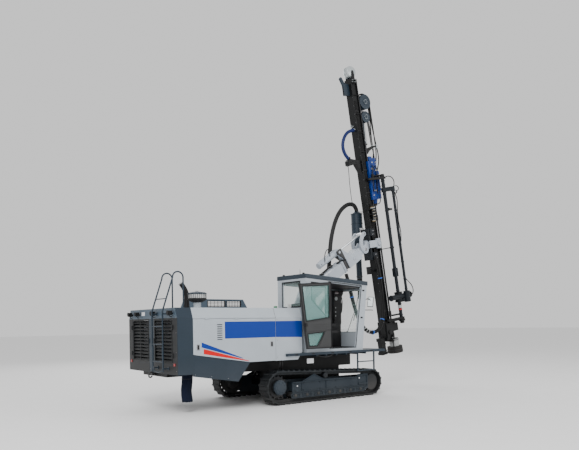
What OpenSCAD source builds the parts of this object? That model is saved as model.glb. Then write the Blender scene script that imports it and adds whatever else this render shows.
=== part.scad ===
// Crawler drilling rig: tracked carrier with cab, hood, telescopic boom and top hammer feed.
// +X is forward, -Y is the cab side, Z is up from the ground. Lengths are in millimetres.

/* [Tracks] */
// Length over the tracks, grouser tip to grouser tip
track_l = 3620; // [3300:10:4000]
// Width over the two tracks
track_gauge_w = 2460; // [2300:10:2600]
// Width of one track shoe
shoe_w = 340; // [280:10:420]
// Height of the track at the drive end
drive_h = 800; // [740:5:860]
// Height of the track at the idler end
idler_h = 670; // [600:5:720]
// Number of shoes on one track
shoe_n = 52; // [44:1:60]
// Height of a grouser bar over its shoe
grouser_h = 26; // [15:1:35]
// Thickness of a shoe plate
shoe_t = 26; // [18:1:36]
// Depth of the chain links under the shoes
link_h = 62; // [50:1:75]
// Width of the chain links
link_w = 130; // [100:5:160]
// Number of bottom rollers on one side
roller_n = 7; // [5:1:9]
// Radius of a bottom roller
roller_r = 74; // [60:1:80]
// Thickness of the track frame's side plates
frame_plate_t = 20; // [12:1:30]

/* [Carrier] */
// Width of the body over its side panels
body_w = 2460; // [2300:10:2600]
// Rear face of the body, behind the middle of the machine
body_rear = 3970; // [3800:10:4100]
// Height of the hood's top
hood_z = 2210; // [2150:5:2260]
// Height where the hood's sides start to lean in
shoulder_z = 2000; // [1940:5:2050]
// How far the hood's shoulders lean in
shoulder_in = 90; // [40:5:140]
// Thickness of the sheet panels
panel_t = 30; // [20:1:45]
// Length of the dark rear corner piece
corner_l = 350; // [300:5:420]
// Underside of the main frame
frame_z = 760; // [740:5:790]
// Top of the deck and of the walkway
deck_z = 1164; // [1140:2:1190]
// Width of the main frame between its side beams
main_frame_w = 1200; // [1000:10:1400]
// Number of slats in a louvre door
slat_n = 12; // [9:1:15]
// Diameter of the grab rail tube
rail_d = 32; // [25:1:40]

/* [Cab] */
// Length of the cab at its floor
cab_l = 1802; // [1700:2:1950]
// Width of the cab
cab_w = 1115; // [1000:1:1120]
// Height of the cab's wall tops at the rear
cab_rear_z = 2915; // [2850:5:2960]
// Height of the cab's wall tops at the front
cab_front_z = 2785; // [2720:5:2830]
// How far the cab's front leans forward
cab_lean = 180; // [100:5:240]
// Thickness of the cab's walls and door
cab_wall = 45; // [30:1:60]
// Thickness of the roof
roof_t = 100; // [70:5:130]
// Thickness of the glass
glass_t = 6; // [4:1:10]
// Width of the door at its top
door_w_top = 1055; // [950:5:1100]
// Width of the door at its sill
door_w_low = 835; // [760:5:880]
// Angle at which the door stands open
door_angle = 175; // [90:1:176]

/* [Boom] */
// Height of the boom's foot pin
boom_foot_z = 2550; // [2450:5:2620]
// Distance from the boom's foot pin to its head pin
boom_l = 2466; // [2300:2:2700]
// Angle of the boom over the level
boom_angle = 33.75; // [20:0.25:45]
// Side of the outer boom's square box
boom_box = 300; // [260:2:340]
// Wall of the boom's boxes
boom_wall = 16; // [10:1:25]
// Side of the inner boom's square box
inner_box = 250; // [200:2:270]
// Length of the outer boom from its foot pin
outer_l = 1540; // [1450:10:1750]

/* [Feed] */
// Height of the feed beam's lowest claw over the ground
feed_foot_z = 930; // [800:5:1100]
// Angle at which the feed leans back
feed_lean = 10; // [0:0.5:20]
// Length of the feed from its claws to the middle of the top sheave
feed_l = 8110; // [7600:10:8600]
// Depth of the feed beam, back to front
beam_d = 240; // [200:2:280]
// Width of the feed beam's web box
beam_w = 170; // [140:2:200]
// Width of the feed beam's flanges
flange_w = 250; // [220:2:290]
// Distance from the beam's middle to the drill axis
drill_x = 300; // [270:2:340]
// Radius of the drill rod
rod_r = 26; // [20:1:32]
// Length of the drill rod with its bit
rod_l = 3900; // [3600:10:4000]

/* [Hidden] */

eps = 0.3;            // gap between pieces that seat on each other
slide_gap = 6;        // gap between pieces that pass each other

white = "#BEC3CB";
slate = "#36495A";
dark = "#22282E";
black = "#181A1C";
blue = "#1455B0";
boom_grey = "#C3C8D0";
glass_tint = "#9FD0CC";

// Tracks
drive_r = drive_h / 2;
idler_r = idler_h / 2;
drive_x = -track_l / 2 + drive_r;
idler_x = track_l / 2 - idler_r;
belt_y = track_gauge_w / 2 - shoe_w / 2;
link_off = -(grouser_h + shoe_t + link_h);
shoe_off = -(grouser_h + shoe_t);
run_l = norm([idler_x - drive_x, drive_r - idler_r]);
run_angle = asin((drive_r - idler_r) / run_l);
flat_l = sqrt(run_l * run_l - pow(drive_r - idler_r, 2));
drive_arc = PI * drive_r * (180 + 2 * run_angle) / 180;
idler_arc = PI * idler_r * (180 - 2 * run_angle) / 180;

// A point of the loop at arc length s, moved outward by off. The bottom run lies on the ground.
function loop_pt(s, off) =
    let (b = 2 * run_angle)
    s < idler_x - drive_x ? [drive_x + s, -off]
    : s < (idler_x - drive_x) + idler_arc
        ? let (a = -90 + (s - (idler_x - drive_x)) / idler_r * 180 / PI)
          [idler_x + (idler_r + off) * cos(a), idler_r + (idler_r + off) * sin(a)]
    : s < (idler_x - drive_x) + idler_arc + flat_l
        ? let (d = s - (idler_x - drive_x) - idler_arc, a = 90 - b)
          [idler_x + (idler_r + off) * cos(a) - d * cos(b), idler_r + (idler_r + off) * sin(a) + d * sin(b)]
    : let (a = 90 - b + (s - (idler_x - drive_x) - idler_arc - flat_l) / drive_r * 180 / PI)
      [drive_x + (drive_r + off) * cos(a), drive_r + (drive_r + off) * sin(a)];
function loop_len() = (idler_x - drive_x) + idler_arc + flat_l + drive_arc;
// Each shoe's outline: share of the pitch, and whether the point is on the grouser
shoe_steps = [[0.0, 0], [0.32, 0], [0.40, 1], [0.60, 1], [0.68, 0]];
function belt_outline() = [for (i = [0:shoe_n - 1], st = shoe_steps)
    loop_pt((i + st[0]) * loop_len() / shoe_n, st[1] * grouser_h - grouser_h)];
function belt_inner(off) = [for (i = [0:2 * shoe_n - 1]) loop_pt(i * loop_len() / (2 * shoe_n), off)];

frame_in_y = track_gauge_w / 2 - shoe_w + 20;
frame_out_y = track_gauge_w / 2 - 20;
link_z = -link_off;
roller_z = link_z + eps + roller_r;

// Body
half_w = body_w / 2;
corner_x = -body_rear + corner_l;
hood_front_x = -790;
skirt_low_x = -2545;
skirt_low_z = 620;
skirt_top_x = -2240;
skirt_top_z = 1020;
panel_low_z = 1235;
panel_top_z = shoulder_z - 20;
tower_x = 350;
feed_y = 280;

// Cab
cab_x = -656;
cab_near = -half_w;
cab_far = cab_near + cab_w;
hinge_x = 60;
hinge_y = cab_near - 20;
sill_z = deck_z + 80;
function cab_top(x) = cab_rear_z + (cab_front_z - cab_rear_z) * (x - cab_x) / (cab_l + cab_lean);
function cab_front(z) = cab_x + cab_l + cab_lean * (z - deck_z) / (cab_front_z - deck_z);

// Boom
boom_foot = [550, boom_foot_z];
boom_dir = [cos(boom_angle), sin(boom_angle)];
tilt_pin = boom_foot + boom_l * boom_dir;
bracket_top = boom_foot_z + 150;

// Feed: its own frame has Z along the beam and X to the front, from the claws' tips.
// It hangs from the boom's head pin, which lies pin_back behind the beam's middle.
pin_back = 524;
pin_up = (tilt_pin[1] - feed_foot_z + pin_back * sin(feed_lean)) / cos(feed_lean);
feed_foot_x = tilt_pin[0] + pin_back * cos(feed_lean) + pin_up * sin(feed_lean);
swing_z = pin_up + 121;      // swing axis, a little over the pin
beam_top = feed_l - 200;
flange_t = 20;

// Placing helpers
module along_y(y0, y1) translate([0, y1, 0]) rotate([90, 0, 0]) linear_extrude(y1 - y0) children();
module in_feed() translate([feed_foot_x, feed_y, feed_foot_z]) rotate([0, -feed_lean, 0]) children();
module in_boom() translate([boom_foot[0], feed_y, boom_foot[1]]) rotate([0, -boom_angle, 0]) children();
module rod(a, b, r) {
    d = b - a;
    l = norm(d);
    translate(a)
        rotate([0, acos(d[2] / l), atan2(d[1], d[0])])
            cylinder(r = r, h = l, $fn = 24);
}
module tube_run(pts, r) {
    for (i = [0:len(pts) - 2]) rod(pts[i], pts[i + 1], r);
    for (i = [1:1:len(pts) - 2]) translate(pts[i]) sphere(r = r + 2, $fn = 24);
}
module both_sides() {
    children();
    mirror([0, 1, 0]) children();
}

module track() {
    along_y(-shoe_w / 2, shoe_w / 2) difference() {
        polygon(belt_outline());
        polygon(belt_inner(shoe_off));
    }
    along_y(-link_w / 2, link_w / 2) difference() {
        polygon(belt_inner(shoe_off + 5));
        polygon(belt_inner(link_off));
    }
}
module track_near() color(dark) translate([0, -belt_y, 0]) track();
module track_far() color(dark) translate([0, belt_y, 0]) track();

// Side view of the outer guard plate and the inner plate of a track frame
frame_front_x = 1330;
frame_rear_x = -1080;
module guard_profile() polygon([[frame_rear_x, 120], [1180, 120], [frame_front_x, 200],
    [frame_front_x, 560], [980, 560], [960, 500], [-130, 520], [-430, 660], [-800, 500], [frame_rear_x, 500]]);
module inner_profile() polygon([[drive_x - 120, 300], [-1100, 120], [1180, 120], [frame_front_x, 200],
    [frame_front_x, 520], [-1000, 540], [drive_x - 120, 540]]);
module track_frames() color(slate) both_sides() {
    along_y(-frame_out_y, -frame_out_y + frame_plate_t) guard_profile();
    difference() {
        along_y(-frame_in_y - frame_plate_t, -frame_in_y) inner_profile();
        translate([drive_x, 0, drive_r]) rotate([90, 0, 0]) cylinder(r = 120 + eps, h = 4000, center = true, $fn = 48);
    }
    along_y(-frame_out_y + frame_plate_t, -frame_in_y - frame_plate_t)
        polygon([[-1000, 285], [1080, 285], [1080, 470], [-1000, 490]]);
}
module final_drives() both_sides() {
    translate([drive_x, -frame_in_y, drive_r]) rotate([90, 0, 0]) {
        cylinder(r = 120, h = frame_plate_t + 10, $fn = 48);
        translate([0, 0, frame_plate_t + eps]) cylinder(r = 240, h = 60, $fn = 64);
        translate([0, 0, frame_plate_t + 10]) cylinder(r = 170, h = 250, $fn = 64);
        translate([0, 0, 100]) sprocket();
    }
}
module sprocket() {
    tip = drive_r + link_off - 6;
    teeth = 15;
    linear_extrude(70) polygon([for (i = [0:teeth - 1], st = [[0, 0], [0.25, 0], [0.4, 1], [0.6, 1], [0.75, 0]])
        let (a = (i + st[0]) * 360 / teeth, r = tip - (1 - st[1]) * 45) [r * cos(a), r * sin(a)]]);
}
module idlers() both_sides() {
    r = idler_r + link_off - 3;
    translate([idler_x, -frame_in_y - frame_plate_t - eps, idler_r]) rotate([90, 0, 0]) difference() {
        union() {
            cylinder(r = r - 20, h = frame_out_y - frame_in_y - 2 * frame_plate_t - 2 * eps, $fn = 64);
            translate([0, 0, (frame_out_y - frame_in_y - 2 * frame_plate_t) / 2 - 60]) cylinder(r = r, h = 120, $fn = 64);
        }
        translate([0, 0, -1]) cylinder(r = 90, h = 60, $fn = 48);
    }
}
module rollers() both_sides() {
    l = frame_out_y - frame_in_y - 2 * frame_plate_t - 2 * eps;
    pitch = 2060 / (roller_n - 1);
    for (i = [0:roller_n - 1])
        translate([-980 + i * pitch, -frame_in_y - frame_plate_t - eps, roller_z])
            rotate([90, 0, 0]) cylinder(r = roller_r, h = l, $fn = 48);
}
module running_gear() color(dark) {
    final_drives();
    idlers();
    rollers();
}

lug_bore_r = 35;
lug_x = 965;
lug_z = 600;
lug_y = 420;
lug_t = 40;
module main_frame() color(black) {
    // cross beam between the track frames, and the box on it with its tie-down lugs
    translate([-800, -frame_in_y + eps, 300]) cube([1500, 2 * (frame_in_y - eps), 181]);
    translate([-900, -main_frame_w / 2, 480]) cube([1800, main_frame_w, frame_z - 479]);
    both_sides() for (s = [-1, 1]) along_y(-lug_y - lug_t / 2, -lug_y + lug_t / 2) difference() {
        union() {
            translate([min(s * 890, s * lug_x), lug_z - 75]) square([lug_x - 890, 150]);
            translate([s * lug_x, lug_z]) circle(r = 75, $fn = 48);
        }
        translate([s * lug_x, lug_z]) circle(r = lug_bore_r, $fn = 48);
    }
    // two side beams joined by cross plates under one deck
    difference() {
        translate([-body_rear + 60, -main_frame_w / 2, frame_z]) cube([body_rear + 1240, main_frame_w, 300]);
        translate([-body_rear + 120, -main_frame_w / 2 + 120, frame_z - 1])
            cube([body_rear - 1100, main_frame_w - 240, 260]);
    }
    translate([-body_rear + 60, -half_w + panel_t + 20, frame_z + 300])
        cube([body_rear - 60 - 780, 2 * (half_w - panel_t - 20), deck_z - frame_z - 300 - 60]);
    translate([-780, -600, frame_z + 300]) cube([2000, 1180 + half_w - 610, deck_z - frame_z - 300 - 60 - eps]);
}
engine_size = [1400, 900, 850];
engine_x = -3100;
module engine_block() color(dark)
    translate([engine_x, -engine_size[1] / 2, deck_z - 60 + eps]) cube(engine_size);

// Cross-section of the hood: its height at the shoulders, its top, and its thickness
module hood_outline(low) polygon([[-half_w, low], [-half_w, shoulder_z], [-half_w + shoulder_in, hood_z],
    [half_w - shoulder_in, hood_z], [half_w, shoulder_z], [half_w, low]]);
module hood_section(low) difference() {
    hood_outline(low);
    offset(delta = -panel_t) hood_outline(low - 200);
}
module along_x(x0, x1) translate([x0, 0, 0]) rotate([90, 0, 90]) linear_extrude(x1 - x0) children();
module rear_housing() color(slate) difference() {
    union() {
        along_x(-body_rear, corner_x - eps) hood_section(840);
        along_x(-body_rear, -body_rear + panel_t) hood_outline(840);
    }
    both_sides() translate([-body_rear - 1, -1030, 1040]) cube([panel_t + 2, 910, 970]);
}
module louvre_doors() color(dark) both_sides() {
    difference() {
        translate([-body_rear, -1030 + eps, 1040 + eps]) cube([panel_t, 910 - 2 * eps, 970 - 2 * eps]);
        translate([-body_rear - 1, -990, 1080]) cube([panel_t + 2, 830, 890]);
    }
    for (i = [0:slat_n - 1])
        translate([-body_rear + 4, -991, 1085 + i * 890 / slat_n])
            rotate([0, 35, 0]) cube([6, 832, 60]);
}
panel_split_x = -1540;
door_gap = 6;
module side_panels() color(white) both_sides() along_y(-half_w, -half_w + panel_t)
    polygon([[panel_split_x, skirt_top_z], [hood_front_x - 130, skirt_top_z],
        [hood_front_x, deck_z + 30], [hood_front_x, panel_top_z], [panel_split_x, panel_top_z]]);
// Service door of the engine bay, hinged along its top edge
module side_door() along_y(-half_w, -half_w + panel_t)
    polygon([[corner_x + door_gap, panel_low_z + door_gap], [skirt_top_x, skirt_top_z + door_gap],
        [panel_split_x - door_gap, skirt_top_z + door_gap], [panel_split_x - door_gap, panel_top_z - door_gap],
        [corner_x + door_gap, panel_top_z - door_gap]]);
module side_door_near() color(white) hinged_side_door();
module side_door_far() color(white) mirror([0, 1, 0]) hinged_side_door();
top_hinge_x = [-3300, -2580, -1860];
top_hinge = [-half_w - 10, panel_top_z - 5];
module hinged_side_door() difference() {
    union() {
        side_door();
        along_x_at(top_hinge_x, 60) {
            translate(top_hinge) circle(r = 9, $fn = 24);
            translate(top_hinge + [0, -9]) square([11, 9]);
        }
    }
    along_x_at(top_hinge_x, 64) translate(top_hinge) circle(r = 4.05, $fn = 24);
}
module along_x_at(xs, l) for (x = xs) along_x(x - l / 2, x + l / 2) children();
// Pins and lugs of the service doors' hinges, on the hood's lower edge
module top_hinge_pins() {
    along_x_at(top_hinge_x, 90) translate(top_hinge) circle(r = 4, $fn = 24);
    for (s = [-1, 1]) along_x_at([for (x = top_hinge_x) x + s * 40], 20 - 2 * eps) {
        translate(top_hinge) circle(r = 8, $fn = 24);
        translate(top_hinge + [-8, 0]) square([16, 17]);
        translate(top_hinge + [-8, 7]) square([40, 10]);
    }
}
module hood_top() color(white) {
    both_sides() top_hinge_pins();
    along_x(corner_x, hood_front_x) hood_section(panel_top_z + eps);
    // bulkhead behind the cab
    along_x(hood_front_x - panel_t, hood_front_x) offset(delta = -panel_t - eps) hood_outline(deck_z + 10);
    translate([hood_front_x - panel_t, -600, hood_z - panel_t - 5]) cube([panel_t, 1200, 10]);
}
module skirts() color(slate) both_sides()
    along_y(-half_w, -half_w + panel_t) polygon([[corner_x, 795], [skirt_low_x, skirt_low_z],
        [skirt_top_x, skirt_top_z - 2], [corner_x, panel_low_z - 2]]);
// Guard plate along the hood's far edge, with its two windows
guard_y = 1060;
guard_x = [-2750, -930];
guard_h = 285;
guard_windows = [[-1990, 520], [-1430, 430]]; // rear edge and length
guard_window_h = [95, 150];                   // height over the hood, and opening
module top_guard() color(slate) along_y(guard_y, guard_y + panel_t) translate([0, hood_z]) difference() {
    polygon([[guard_x[0], eps], [guard_x[0] + 120, guard_h], [guard_x[1], guard_h], [guard_x[1] + 170, eps]]);
    for (w = guard_windows) translate([w[0], guard_window_h[0]]) square([w[1], guard_window_h[1]]);
}
module rear_ladder() color(slate) {
    x0 = -body_rear - 125;
    r = rail_d / 2;
    for (y = [-820, -310]) {
        tube_run([[x0, y, 890], [x0, y, 2140], [x0 + 240, y, 2850]], r);
        translate([x0 + 360, y, 2850]) rotate([90, 0, 0]) rotate_extrude(angle = 180, $fn = 48)
            translate([120, 0]) circle(r = r, $fn = 24);
        rod([x0 + 480, y, 2850], [x0 + 480, y, hood_z + eps], r);
        translate([x0 + 240, y, 2850]) sphere(r = r + 2, $fn = 24);
        rod([x0, y, 960], [-body_rear - eps, y, 960], r * 0.8);
        rod([x0, y, 2090], [-body_rear - eps, y, 2090], r * 0.8);
    }
    for (z = [1100, 1460, 1830]) rod([x0, -820, z], [x0, -310, z], r * 0.8);
    rod([x0 + 90, -820, 2406], [x0 + 90, -310, 2406], r * 0.7);
}
module exhaust() color(black) {
    translate([-3330, -420, hood_z + eps]) cylinder(r = 60, h = 300, $fn = 32);
    rod([-3330, -420, hood_z + 280], [-3480, -420, hood_z + 560], 55);
}
module air_precleaner() color(dark) translate([-3300, -840, hood_z + eps]) {
    cylinder(r = 80, h = 150, $fn = 32);
    translate([0, 0, 140]) cylinder(r1 = 110, r2 = 195, h = 50, $fn = 48);
    translate([0, 0, 190]) cylinder(r = 195, h = 110, $fn = 48);
    translate([0, 0, 300]) cylinder(r1 = 205, r2 = 120, h = 45, $fn = 48);
}
module rear_lamps() color(black) for (y = [1000, 600, -230, -1040]) {
    translate([-body_rear - 110, y - 50, 2060]) cube([70, 100, 90]);
    translate([-body_rear - 45, y - 12, 2080]) cube([45 - eps, 24, 30]);
}
module dust_sleeve() color("#10203E") translate([-3560, -820, 240])
    linear_extrude(frame_z + 300 - eps - 240) polygon([for (a = [0:30:330]) [125 * cos(a), 90 * sin(a)]]);
module walkway() color(slate) {
    translate([hood_front_x + eps, -half_w - 60, deck_z - 60]) cube([1890 - hood_front_x, 700, 60 - eps]);
    translate([hood_front_x + eps, 700, deck_z - 60]) cube([1890 - hood_front_x, half_w + 70 - 700, 60 - eps]);
    both_sides() translate([-1270, -half_w - 60, deck_z - 60]) cube([1271 + hood_front_x, 60 - eps, 60 - eps]);
    for (x = [935, 1500])
        translate([x - 15, -half_w - 50, 640]) cube([30, 30, deck_z - 60 - 640 + 5]);
    for (z = [640, 860]) translate([935, -half_w - 50, z]) cube([565, 30, 25]);
}

module cab_outline(grow) polygon([[cab_x - grow, deck_z - grow], [cab_front(deck_z) + grow, deck_z - grow],
    [cab_front(cab_front_z) + grow, cab_front_z + grow], [cab_x - grow, cab_rear_z + grow]]);
module cab_shell() color(white) {
    cab_body();
    door_hinge_pins();
}
// Windows and door opening, as outlines on the walls
window_gap = 85;       // below the wall tops
rear_window_y = [cab_near + 210, cab_far - 190];
rear_window_z = [2240, 2850];
front_window_z = [1600, 2680];
front_post = 90;
module near_window() polygon([[cab_x + 165, 2410], [hinge_x - 110, 2010],
    [hinge_x - 110, cab_top(hinge_x - 110) - window_gap], [cab_x + 165, cab_top(cab_x + 165) - window_gap]]);
module far_window() polygon([[cab_x + 120, 1750], [1000, 1750], [1060, cab_top(1060) - window_gap],
    [cab_x + 120, cab_top(cab_x + 120) - window_gap]]);
module doorway() polygon([[hinge_x, sill_z], [hinge_x + door_w_low + 10, sill_z],
    [hinge_x + door_w_top + 12, cab_top(hinge_x + door_w_top) - 30], [hinge_x, cab_top(hinge_x) - 30]]);
module cab_body() difference() {
    along_y(cab_near, cab_far) cab_outline(0);
    along_y(cab_near + cab_wall, cab_far - cab_wall) polygon([[cab_x + cab_wall, deck_z + cab_wall],
        [cab_front(deck_z) - cab_wall, deck_z + cab_wall],
        [cab_front(cab_front_z) - cab_wall, cab_front_z - cab_wall], [cab_x + cab_wall, cab_rear_z - cab_wall]]);
    along_y(cab_near - 1, cab_near + cab_wall + 1) {
        doorway();
        near_window();
    }
    along_y(cab_far - cab_wall - 1, cab_far + 1) far_window();
    along_x(cab_x - 1, cab_x + cab_wall + 1) rear_window();
    along_x(900, 2000) front_window();
}
module rear_window() translate([rear_window_y[0], rear_window_z[0]])
    square([rear_window_y[1] - rear_window_y[0], rear_window_z[1] - rear_window_z[0]]);
module front_window() translate([cab_near + front_post, front_window_z[0]])
    square([cab_w - 2 * front_post, front_window_z[1] - front_window_z[0]]);
module cab_roof() color(slate) along_y(cab_near - 10, cab_far + 10) polygon([
    [cab_x - 10, cab_top(cab_x - 10) + eps], [cab_front(cab_front_z) + 20, cab_top(cab_front(cab_front_z) + 20) + eps],
    [cab_front(cab_front_z) + 20, cab_front_z + roof_t], [cab_x - 10, cab_rear_z + roof_t]]);
module cab_glass() color(glass_tint, 0.4) {
    along_y(cab_near + cab_wall / 2, cab_near + cab_wall / 2 + glass_t) offset(delta = -eps) near_window();
    along_y(cab_far - cab_wall / 2, cab_far - cab_wall / 2 + glass_t) offset(delta = -eps) far_window();
    along_x(cab_x + cab_wall / 2, cab_x + cab_wall / 2 + glass_t) offset(delta = -eps) rear_window();
    // the front pane leans with the wall
    along_y(cab_near + front_post + eps, cab_far - front_post - eps) polygon([for (e = [[0, 0], [1, 0], [1, 1], [0, 1]])
        let (z = front_window_z[e[1]] + eps * (1 - 2 * e[1])) [cab_front(z) - 25 + e[0] * glass_t, z]]);
}
module cab_seat() {
    translate([-330, -940, deck_z + cab_wall + eps]) cube([440, 440, 310]);
    translate([-370, -960, deck_z + cab_wall + 300]) cube([560, 480, 130]);
    translate([-420, -950, deck_z + cab_wall + 360]) rotate([0, -8, 0]) cube([110, 460, 700]);
}
module cab_fittings() color(black) {
    cab_seat();
    cab_console();
}
// Control box beside the seat, and the dark instrument column in the far front corner
module cab_console() {
    floor_z = deck_z + cab_wall + eps;
    translate([400, -440, floor_z]) cube([500, 200, 700]);
    translate([860, -500, floor_z]) cube([220, 290, 640]);
    translate([860, -480, floor_z + 600]) cube([250, 275, 880]);
}
// The door as it closes, hinge axis at the origin, x towards its free edge
door_z0 = sill_z + 6;
door_stile = 85;
function door_top(x) = cab_top(hinge_x + x) - 38;
function door_edge(z) = door_w_low + (door_w_top - door_w_low) * (z - door_z0) / (door_top(door_w_top) - door_z0);
module door_closed(t0, t1) along_y(t0, t1) children();
module door_outline() polygon([[8, door_z0], [door_w_low, door_z0], [door_w_top, door_top(door_w_top)],
    [8, door_top(8)]]);
module upper_pane() polygon([[door_stile, 1985], [door_edge(1900) - door_stile, 1900],
    [door_edge(2690) - door_stile, door_top(door_w_top) - 60], [door_stile, door_top(door_stile) - 70]]);
module lower_pane() polygon([[500, door_z0 + 70], [door_edge(1320) - door_stile, door_z0 + 70],
    [door_edge(1600) - door_stile, 1600], [250, 1640]]);
module place_door() translate([hinge_x, hinge_y, 0]) rotate([0, 0, -door_angle]) children();
module cab_door() color(dark) place_door() {
    difference() {
        door_closed(25, 25 + cab_wall - 10) door_outline();
        door_closed(20, 80) upper_pane();
        door_closed(20, 80) lower_pane();
    }
    for (z = door_hinge_z) translate([0, 0, z]) difference() {
        union() {
            cylinder(r = 12, h = hinge_h, $fn = 24);
            translate([0, -4, 0]) cube([30, 32, hinge_h]);
        }
        translate([0, 0, -1]) cylinder(r = 6.05, h = hinge_h + 2, $fn = 24);
    }
}
// Hinge pins on the cab's wall, with a lug above and below each door knuckle
door_hinge_z = [1450, 2550];
hinge_h = 90;
module door_hinge_pins() translate([hinge_x, hinge_y, 0]) for (z = door_hinge_z) {
    translate([0, 0, z - 10]) cylinder(r = 6, h = hinge_h + 20, $fn = 24);
    for (z1 = [z - 18, z + hinge_h + eps]) translate([-12, -10, z1]) cube([24, 31, 18 - eps]);
}
module door_glass() color(glass_tint, 0.4) place_door() {
    door_closed(38, 38 + glass_t) offset(delta = -eps) upper_pane();
    door_closed(38, 38 + glass_t) offset(delta = -eps) lower_pane();
}

module boom_tower() color(boom_grey) {
    translate([tower_x - 260, feed_y - 260, deck_z - 60]) cube([520, 520, 500]);
    translate([tower_x, feed_y, deck_z + 440]) cylinder(r = 190, h = 120, $fn = 64);
    translate([tower_x, feed_y, deck_z + 440]) cylinder(r = 90, h = 400, $fn = 48);
}
swivel_z = deck_z + 560 + eps;
module boom_bracket() color(boom_grey) {
    difference() {
        union() {
            translate([tower_x, feed_y, swivel_z]) cylinder(r = 200, h = 320, $fn = 64);
            translate([tower_x, feed_y - 200, swivel_z]) cube([480, 400, 200]);
            for (y = [feed_y - 200, feed_y + boom_box / 2 + slide_gap])
                along_y(y, y + 200 - boom_box / 2 - slide_gap) polygon([[tower_x - 150, swivel_z], [tower_x + 480, swivel_z],
                    [tower_x + 480, swivel_z + 120], [boom_foot[0] + 150, boom_foot_z + 60],
                    [boom_foot[0] + 60, bracket_top], [boom_foot[0] - 100, bracket_top], [tower_x - 150, swivel_z + 400]]);
        }
        translate([tower_x, feed_y, swivel_z - 1]) cylinder(r = 90.05, h = 285, $fn = 48);
        translate([boom_foot[0], feed_y, boom_foot_z]) rotate([90, 0, 0]) cylinder(r = 45.05, h = 600, center = true, $fn = 48);
        // pocket for the lift cylinder's foot
        translate([lift_base[0] - 110, feed_y - 90, lift_base[1] - 90]) cube([400, 180, 300]);
    }
    translate([lift_base[0], feed_y, lift_base[1]]) rotate([90, 0, 0]) cylinder(r = 30, h = 190, center = true, $fn = 48);
}
lift_base = [tower_x + 340, swivel_z + 120];
module outer_boom() color(boom_grey) {
    in_boom() difference() {
        union() {
            translate([-60, -boom_box / 2, -boom_box / 2]) cube([outer_l + 60, boom_box, boom_box]);
            rotate([90, 0, 0]) cylinder(r = boom_box / 2, h = boom_box, center = true, $fn = 64);
            translate([outer_l - 60, -boom_box / 2 - 12, -boom_box / 2 - 12]) cube([60, boom_box + 24, boom_box + 24]);
            // ears for the lift cylinder's rod
            for (y = [-90, 50]) translate([lift_eye_x - 80, y, -boom_box / 2 - lift_drop - 50]) cube([160, 40, lift_drop + 60]);
        }
        translate([200, -inner_box / 2 - eps, -inner_box / 2 - eps]) cube([outer_l, inner_box + 2 * eps, inner_box + 2 * eps]);
        translate([200, -boom_box / 2 + boom_wall, -boom_box / 2 + boom_wall])
            cube([outer_l - 260, boom_box - 2 * boom_wall, boom_box - 2 * boom_wall]);
    }
    in_boom() for (y = [-104, 90]) translate([lift_eye_x, y + 14, -boom_box / 2 - lift_drop]) rotate([90, 0, 0])
        cylinder(r = 34, h = 15, $fn = 48);
    in_boom() rotate([90, 0, 0]) cylinder(r = 45, h = 400, center = true, $fn = 48);
    // duct that the suction hose stands on, with its clamps
    rod([1690, 640, 3150], [1690, 640, 3330 - eps], 66);
    rod([1690, 640, 3150], [900, 640, 2640], 60);
    translate([1690, 640, 3150]) sphere(r = 68, $fn = 32);
    in_boom() for (x = [420, 1150]) translate([x, boom_box / 2 - 5, -60]) cube([50, 640 - feed_y - boom_box / 2, 120]);
}
lift_eye_x = 1150;
lift_drop = 105;
head_r = 78;
module inner_boom() color(boom_grey) in_boom() difference() {
    union() {
        translate([300, -inner_box / 2, -inner_box / 2]) difference() {
            cube([boom_l - 300 - 300, inner_box, inner_box]);
            translate([-1, boom_wall, boom_wall]) cube([boom_l - 800, inner_box - 2 * boom_wall, inner_box - 2 * boom_wall]);
        }
        // head casting with the trunnion ears on its back
        translate([outer_l + 150, -boom_box / 2, -boom_box / 2]) cube([boom_l - outer_l - 150 - 190, boom_box, boom_box]);
        translate([boom_l - 200, -boom_box / 2, -head_r]) cube([200, boom_box, 2 * head_r]);
        translate([boom_l, 0, 0]) rotate([90, 0, 0]) cylinder(r = head_r, h = boom_box, center = true, $fn = 64);
        for (y = [-150, 110]) translate([0, y, 0]) rotate([90, 0, 0]) translate([0, 0, -40]) linear_extrude(40)
            polygon([[outer_l + 150, 120], [outer_l + 400, 120], tilt_ear + [80, 70], tilt_ear + [-70, 70],
                tilt_ear + [-90, 10]]);
    }
    translate([boom_l, 0, 0]) rotate([90, 0, 0]) cylinder(r = 45.05, h = 600, center = true, $fn = 48);
    translate([tilt_ear[0], 0, tilt_ear[1]]) rotate([90, 0, 0]) cylinder(r = 35.05, h = 600, center = true, $fn = 48);
}
// Lift cylinder, from the bracket to the outer boom
lift_eye = boom_foot + lift_eye_x * boom_dir + (boom_box / 2 + lift_drop) * [boom_dir[1], -boom_dir[0]];
lift_vec = lift_eye - lift_base;
lift_len = norm(lift_vec);
module in_lift() translate([lift_base[0], feed_y, lift_base[1]]) rotate([0, -atan2(lift_vec[1], lift_vec[0]), 0]) children();
module lift_barrel() color(boom_grey) in_lift() difference() {
    union() {
        rotate([90, 0, 0]) cylinder(r = 60, h = 90, center = true, $fn = 48);
        rotate([0, 90, 0]) cylinder(r = 70, h = 830, $fn = 48);
    }
    rotate([90, 0, 0]) cylinder(r = 30.05, h = 200, center = true, $fn = 48);
    translate([100, 0, 0]) rotate([0, 90, 0]) cylinder(r = 35.05, h = 900, $fn = 48);
}
module lift_rod() color("#D8DCE0") in_lift() {
    translate([lift_len, 0, 0]) rotate([90, 0, 0]) cylinder(r = 45, h = 90, center = true, $fn = 48);
    translate([700, 0, 0]) rotate([0, 90, 0]) cylinder(r = 35, h = lift_len - 700, $fn = 48);
}
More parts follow.
